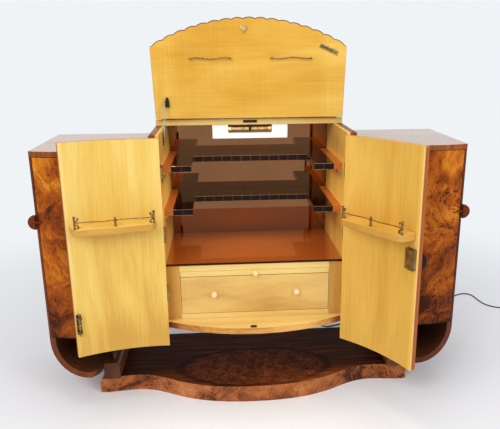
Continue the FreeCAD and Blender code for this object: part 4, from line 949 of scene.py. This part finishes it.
for side in ("left", "right"):
    body = "door_" + side
    feet = []
    for x in (free_x + 0.007, (free_x + far_x) / 2, far_x - 0.010):
        front = near_front + (far_front - near_front) * (x - free_x) / (far_x - free_x)
        feet.append(Vector((x, front - post_inset, ledge_top)))
    along = (feet[2] - feet[0]).normalized()
    form = bmesh.new()
    for foot, way in ((feet[0], 1), (feet[2], -1)):
        turned(form, POST, opened(side, foot), (0, 0, 1), sides=20, girth=1.3)
        for height, lift in ((0.031, 1), (0.009, -1)):
            curl = [(0.0015, curl_root), (0.006, (curl_root + height) / 2 + 0.001), (0.0115, height + 0.001),
                    (0.0125, height + 0.0035 * lift), (0.0095, height + 0.0045 * lift),
                    (0.0080, height + 0.0025 * lift)]
            points = [opened(side, foot + along * (way * reach) + Vector((0, 0, z))) for reach, z in curl]
            place = ("in" if way > 0 else "out") + ("_high" if lift > 0 else "_low")
            tube(side + "_gallery_curl_" + place, points, curl_radius, body, toned_brass)
    turned(form, STAY, opened(side, feet[1]), (0, 0, 1), sides=20, girth=1.2)
    finished(form, side + "_gallery_posts", body, [toned_brass], side + "_door_gallery")
    rail = waved.make(side + "_rail", [(0, 0, 0)], toned_brass, Start=tuple(opened(side, feet[0]) + rise),
                      End=tuple(opened(side, feet[2]) + rise))
    finished(rail, side + "_gallery_rail", body, [toned_brass], smooth=50)

# ---------------------------------------------------------------- bolt and lock
# The left door is held by a flush bolt in a dark ornamented case at its foot, and the right door
# shuts on it with a folded brass lock case, screwed on beside its edge.
dark_brass = metal("dark_brass", (0.045, 0.026, 0.010), (0.15, 0.088, 0.032), (0.36, 0.23, 0.085))
dressed("left_bolt_case", 0.0006, [dark_brass])
dressed("left_bolt", 0.0004, [brass])
lock_brass = metal("lock_brass", (0.10, 0.060, 0.024), (0.23, 0.150, 0.066), (0.40, 0.28, 0.13), grain=45.0,
                   spread=0.2)
lock_x = 0.003
lock_back, lock_face = bow(lock_x) + 0.0005, bow(lock_x) + 0.0145
form = bmesh.new()
boxed(form, (lock_x, lock_back, 0.591), (0.043, lock_face, 0.661))
bmesh.ops.bevel(form, geom=list(form.edges), offset=0.0012, segments=2, affect="EDGES")
for vertex in form.verts:
    vertex.co = opened("right", vertex.co)
finished(form, "right_lock_dressed", "door_right", [lock_brass], "right_lock_case")
spots = [opened("right", (x, lock_face, z)) for x in (0.010, 0.036) for z in (0.599, 0.653)]
outward = opened("right", (0.02, 1.0, 0.6)) - opened("right", (0.02, 0.0, 0.6))
screws = heads.make("lock_screws", spots, brass, [tuple(outward)] * len(spots), Radius=0.0026, Height=0.0004)
finished(screws, "lock_screws", "door_right", [brass])


# ---------------------------------------------------------------- lid with its hinge and fittings
# A walnut lid with a scalloped dark edge, lined with pale veneer whose ripple shows across the
# grain. It lifts on a piano hinge and carries a catch, two waved brass rods and a small plate.
def lid_faces(normal, centre):
    if normal.y < -0.9:
        return 0
    return 1 if normal.y > 0.9 else 2


dressed("lid_panel", 0.0028, [lid_maple, walnut_x, banding], lid_faces)
dressed("lid_hinge_fixed", 0.0002, [brass])
dressed("lid_hinge_moving", 0.0002, [brass])
dressed("lid_catch", 0.0006, [bright_brass])
dressed("lid_buffers", 0.0003, [resin("felt", (0.050, 0.034, 0.026), (0.090, 0.060, 0.044), 0.85)])

lid_axis_z, lid_face_y = 1.0203, 0.0337
rod_z, rod_y = lid_axis_z + 0.217, lid_face_y - 0.010
FOOT = [(0.0, 0.0044), (0.0015, 0.0044), (0.0025, 0.0026), (0.007, 0.0024), (0.009, 0.0036), (0.0115, 0.0036),
        (0.0125, 0.0022), (0.0129, 0.0005)]
form = bmesh.new()
for number, (x0, x1) in enumerate(((-0.218, -0.066), (0.076, 0.228))):
    rod = waved.make(f"lid_rod_{number}", [(0, 0, 0)], toned_brass, Start=(x0, rod_y, rod_z),
                     End=(x1, rod_y, rod_z), Lift=(0.0, 0.0, 0.0024), Waves=1.5, Phase=2.6 * number,
                     Radius=0.0022)
    finished(rod, f"lid_rod_{number}", "lid", [toned_brass], smooth=50)
    for x in (x0 + 0.005, x1 - 0.005):
        turned(form, FOOT, (x, lid_face_y - 0.0002, rod_z), (0, -1, 0), sides=20)
finished(form, "lid_rod_feet", "lid", [toned_brass], "lid_rods")

# The plate has two raised borders, the upper one in brighter brass as a painted highlight, and
# between them a row of small pyramids repeated from one. Both are made level and then turned to
# follow the lid's end.
plate_spot = Vector((0.292, lid_face_y, lid_axis_z + 0.246))
slant = Matrix.Rotation(math.radians(24.5), 3, "Y")
plate_face, border_low, border_width = -0.0008, 0.0060, 0.0018


def slanted(form):
    """Turns a level form and sets it on the lid."""
    for vertex in form.verts:
        vertex.co = slant @ vertex.co + plate_spot


form = bmesh.new()
boxed(form, (-0.0365, plate_face, -0.0088), (0.0365, 0.0, 0.0088))
for low in (-border_low - border_width, border_low):
    boxed(form, (-0.0355, -0.0014, low), (0.0355, plate_face, low + border_width))
for face in form.faces:
    # Painted highlight: the upper border takes the brighter brass.
    face.material_index = 1 if face.calc_center_median().z > border_low - 0.0001 else 0
slanted(form)
finished(form, "lid_plate_dressed", "lid", [brass, bright_brass], "lid_plate")

frieze = Pattern("lozenge_frieze", Number=8, Step=0.0063, Width=0.0029, Height=0.0050, Depth=0.0007)
lozenge = frieze.node("GeometryNodeMeshCone", values={
    "Vertices": 4, "Radius Top": 0.0, "Radius Bottom": 1.0, "Depth": frieze.size("Depth")})
row = frieze.node("GeometryNodeMeshLine", values={
    "Count": frieze.size("Number"), "Offset": frieze.vector(X=frieze.size("Step"))})
spread = frieze.vector(X=frieze.size("Width"), Y=frieze.size("Height"), Z=1.0)
tiles = frieze.repeated(row, lozenge, Rotation=(math.pi / 2, 0.0, 0.0), Scale=spread)
frieze.end(frieze.repeated(frieze.size("Points"), tiles))
form = frieze.make("lid_plate_frieze", [(-0.0320, plate_face, 0.0)], bronzed)
slanted(form)
finished(form, "lid_plate_frieze", "lid", [bronzed], smooth=10)

# ---------------------------------------------------------------- lid stay
# A black gusset on the lid, a flat nickel arm with a long slot, and the stud it slides on, fixed
# to the carcase. The arm checks the lid when it stands upright.
GUSSET = [(-0.3100, 0.046), (-0.2955, 0.0445), (-0.2955, 0.060), (-0.2990, 0.079), (-0.3060, 0.080),
          (-0.3100, 0.068)]
pivot_y, pivot_z = lid_face_y - 0.008, lid_axis_z + 0.062
form = bmesh.new()
skinned(form, [[form.verts.new((x, lid_face_y - out, lid_axis_z + z)) for x, z in GUSSET]
               for out in (0.0098, 0.0002)])
bmesh.ops.bevel(form, geom=list(form.edges), offset=0.0006, segments=1, affect="EDGES")
turned(form, [(0.0, 0.0016), (0.0006, 0.0021), (0.0062, 0.0021)], (-0.3144, pivot_y, pivot_z), (1, 0, 0),
       sides=20)
finished(form, "stay_bracket_gusset", "lid", [bronzed], "stay_bracket")
dressed("stay_guide", 0.0004, [bronzed])

stay_x = -0.311
stay_top, stud = Vector((stay_x, pivot_y, pivot_z)), Vector((stay_x, -0.050, 0.962))
down = (stud - stay_top).normalized()
across = Vector((0.0, down.z, -down.y))


def race(start, end, half, count=10):
    """Outline with half-round ends, in the plane of the arm."""
    loop = []
    for centre, flip in ((end, 1), (start, -1)):
        for i in range(count + 1):
            a = math.pi * (i / count - 0.5)
            loop.append(centre + down * (math.cos(a) * half * flip) + across * (math.sin(a) * half * flip))
    return loop


arm_half, slot_half, arm_thickness = 0.0044, 0.0017, 0.0025
outer = race(stay_top + down * 0.0001, stay_top + down * 0.1514, arm_half)
inner = race(stay_top + down * 0.020, stay_top + down * 0.1465, slot_half)
form = bmesh.new()
rings = []
for shift in (0.0, -arm_thickness):
    rings.append([[form.verts.new(p + Vector((shift, 0, 0))) for p in loop] for loop in (outer, inner)])
for i in range(len(outer)):
    j = (i + 1) % len(outer)
    form.faces.new((rings[0][0][i], rings[0][0][j], rings[1][0][j], rings[1][0][i]))
    form.faces.new((rings[0][1][i], rings[1][1][i], rings[1][1][j], rings[0][1][j]))
    for outside, inside in rings:
        form.faces.new((outside[i], inside[i], inside[j], outside[j]))
nickel = metal("worn_nickel", (0.10, 0.11, 0.09), (0.22, 0.245, 0.20), (0.36, 0.39, 0.33), grain=150.0,
               spread=0.2)
finished(form, "stay_arm_slotted", "stay", [nickel], "stay_arm")

# ---------------------------------------------------------------- studio
# A pale floor that fades with distance into a pale surround, a broad key from the left, a fill
# from the right, one lamp over, and the warm glow of the cabinet's own lamp.
mesh = bpy.data.meshes.new("floor")
mesh.from_pydata([(-9, -6, 0), (9, -6, 0), (9, 12, 0), (-9, 12, 0)], [], [(0, 1, 2, 3)])
ground = linked("floor", mesh)
haze = (0.871, 0.896, 0.922, 1.0)
paint = Finish("floor_paint", (0.93, 0.935, 0.955), Roughness=0.7, Specular_IOR_Level=0.1)
away = in_plan(paint, 0.0, 0.0).ease(0.9, 2.6)
glow = paint.node("ShaderNodeEmission", values={"Color": haze})
blend = paint.node("ShaderNodeMixShader", values={"Fac": away, 1: Wire(paint, paint.surface.outputs["BSDF"]),
                                                  2: glow})
paint.tree.links.new(blend.socket, paint.tree.nodes["Material Output"].inputs["Surface"])
mesh.materials.append(paint.material)

world = bpy.data.worlds.new("surround")
bpy.context.scene.world = world
world.use_nodes = True
world.node_tree.nodes.clear()
sky = Bench(world.node_tree)
rays = [sky.node("ShaderNodeLightPath", output=f"Is {kind} Ray")
        for kind in ("Camera", "Glossy", "Transmission")]
seen = rays[0].math("MAXIMUM", rays[0], rays[1].math("MAXIMUM", rays[1], rays[2]))
shown = sky.node("ShaderNodeBackground", values={"Color": haze})
lighting = sky.node("ShaderNodeBackground", values={"Color": (0.96, 0.97, 1.0, 1.0), "Strength": 0.50})
both = sky.node("ShaderNodeMixShader", values={"Fac": seen, 1: lighting, 2: shown})
sky.node("ShaderNodeOutputWorld", values={"Surface": both})

for name, place, aim, size, power, color in (
        ("key", (-1.9, -3.2, 3.0), (0.0, -0.1, 0.6), 2.4, 80.0, (1.0, 1.0, 1.0)),
        ("fill", (2.3, -2.9, 2.4), (0.0, -0.1, 0.6), 2.0, 42.0, (1.0, 1.0, 1.0)),
        ("over", (0.0, -0.6, 3.6), (0.0, -0.1, 0.6), 2.6, 27.0, (1.0, 1.0, 1.0)),
        ("cabinet_glow", (0.0, -0.02, 0.93), (0.0, 0.02, 0.5), 0.24, 1.7, (1.0, 0.86, 0.66))):
    lamp = bpy.data.lights.new(name, "AREA")
    lamp.shape = "DISK"
    lamp.size = size
    lamp.energy = power
    lamp.color = color
    holder = linked(name, lamp)
    holder.visible_camera = False
    holder.visible_glossy = name != "cabinet_glow"
    holder.location = place
    holder.rotation_euler = (Vector(aim) - Vector(place)).to_track_quat("-Z", "Y").to_euler()

bpy.context.scene.view_settings.view_transform = "Standard"
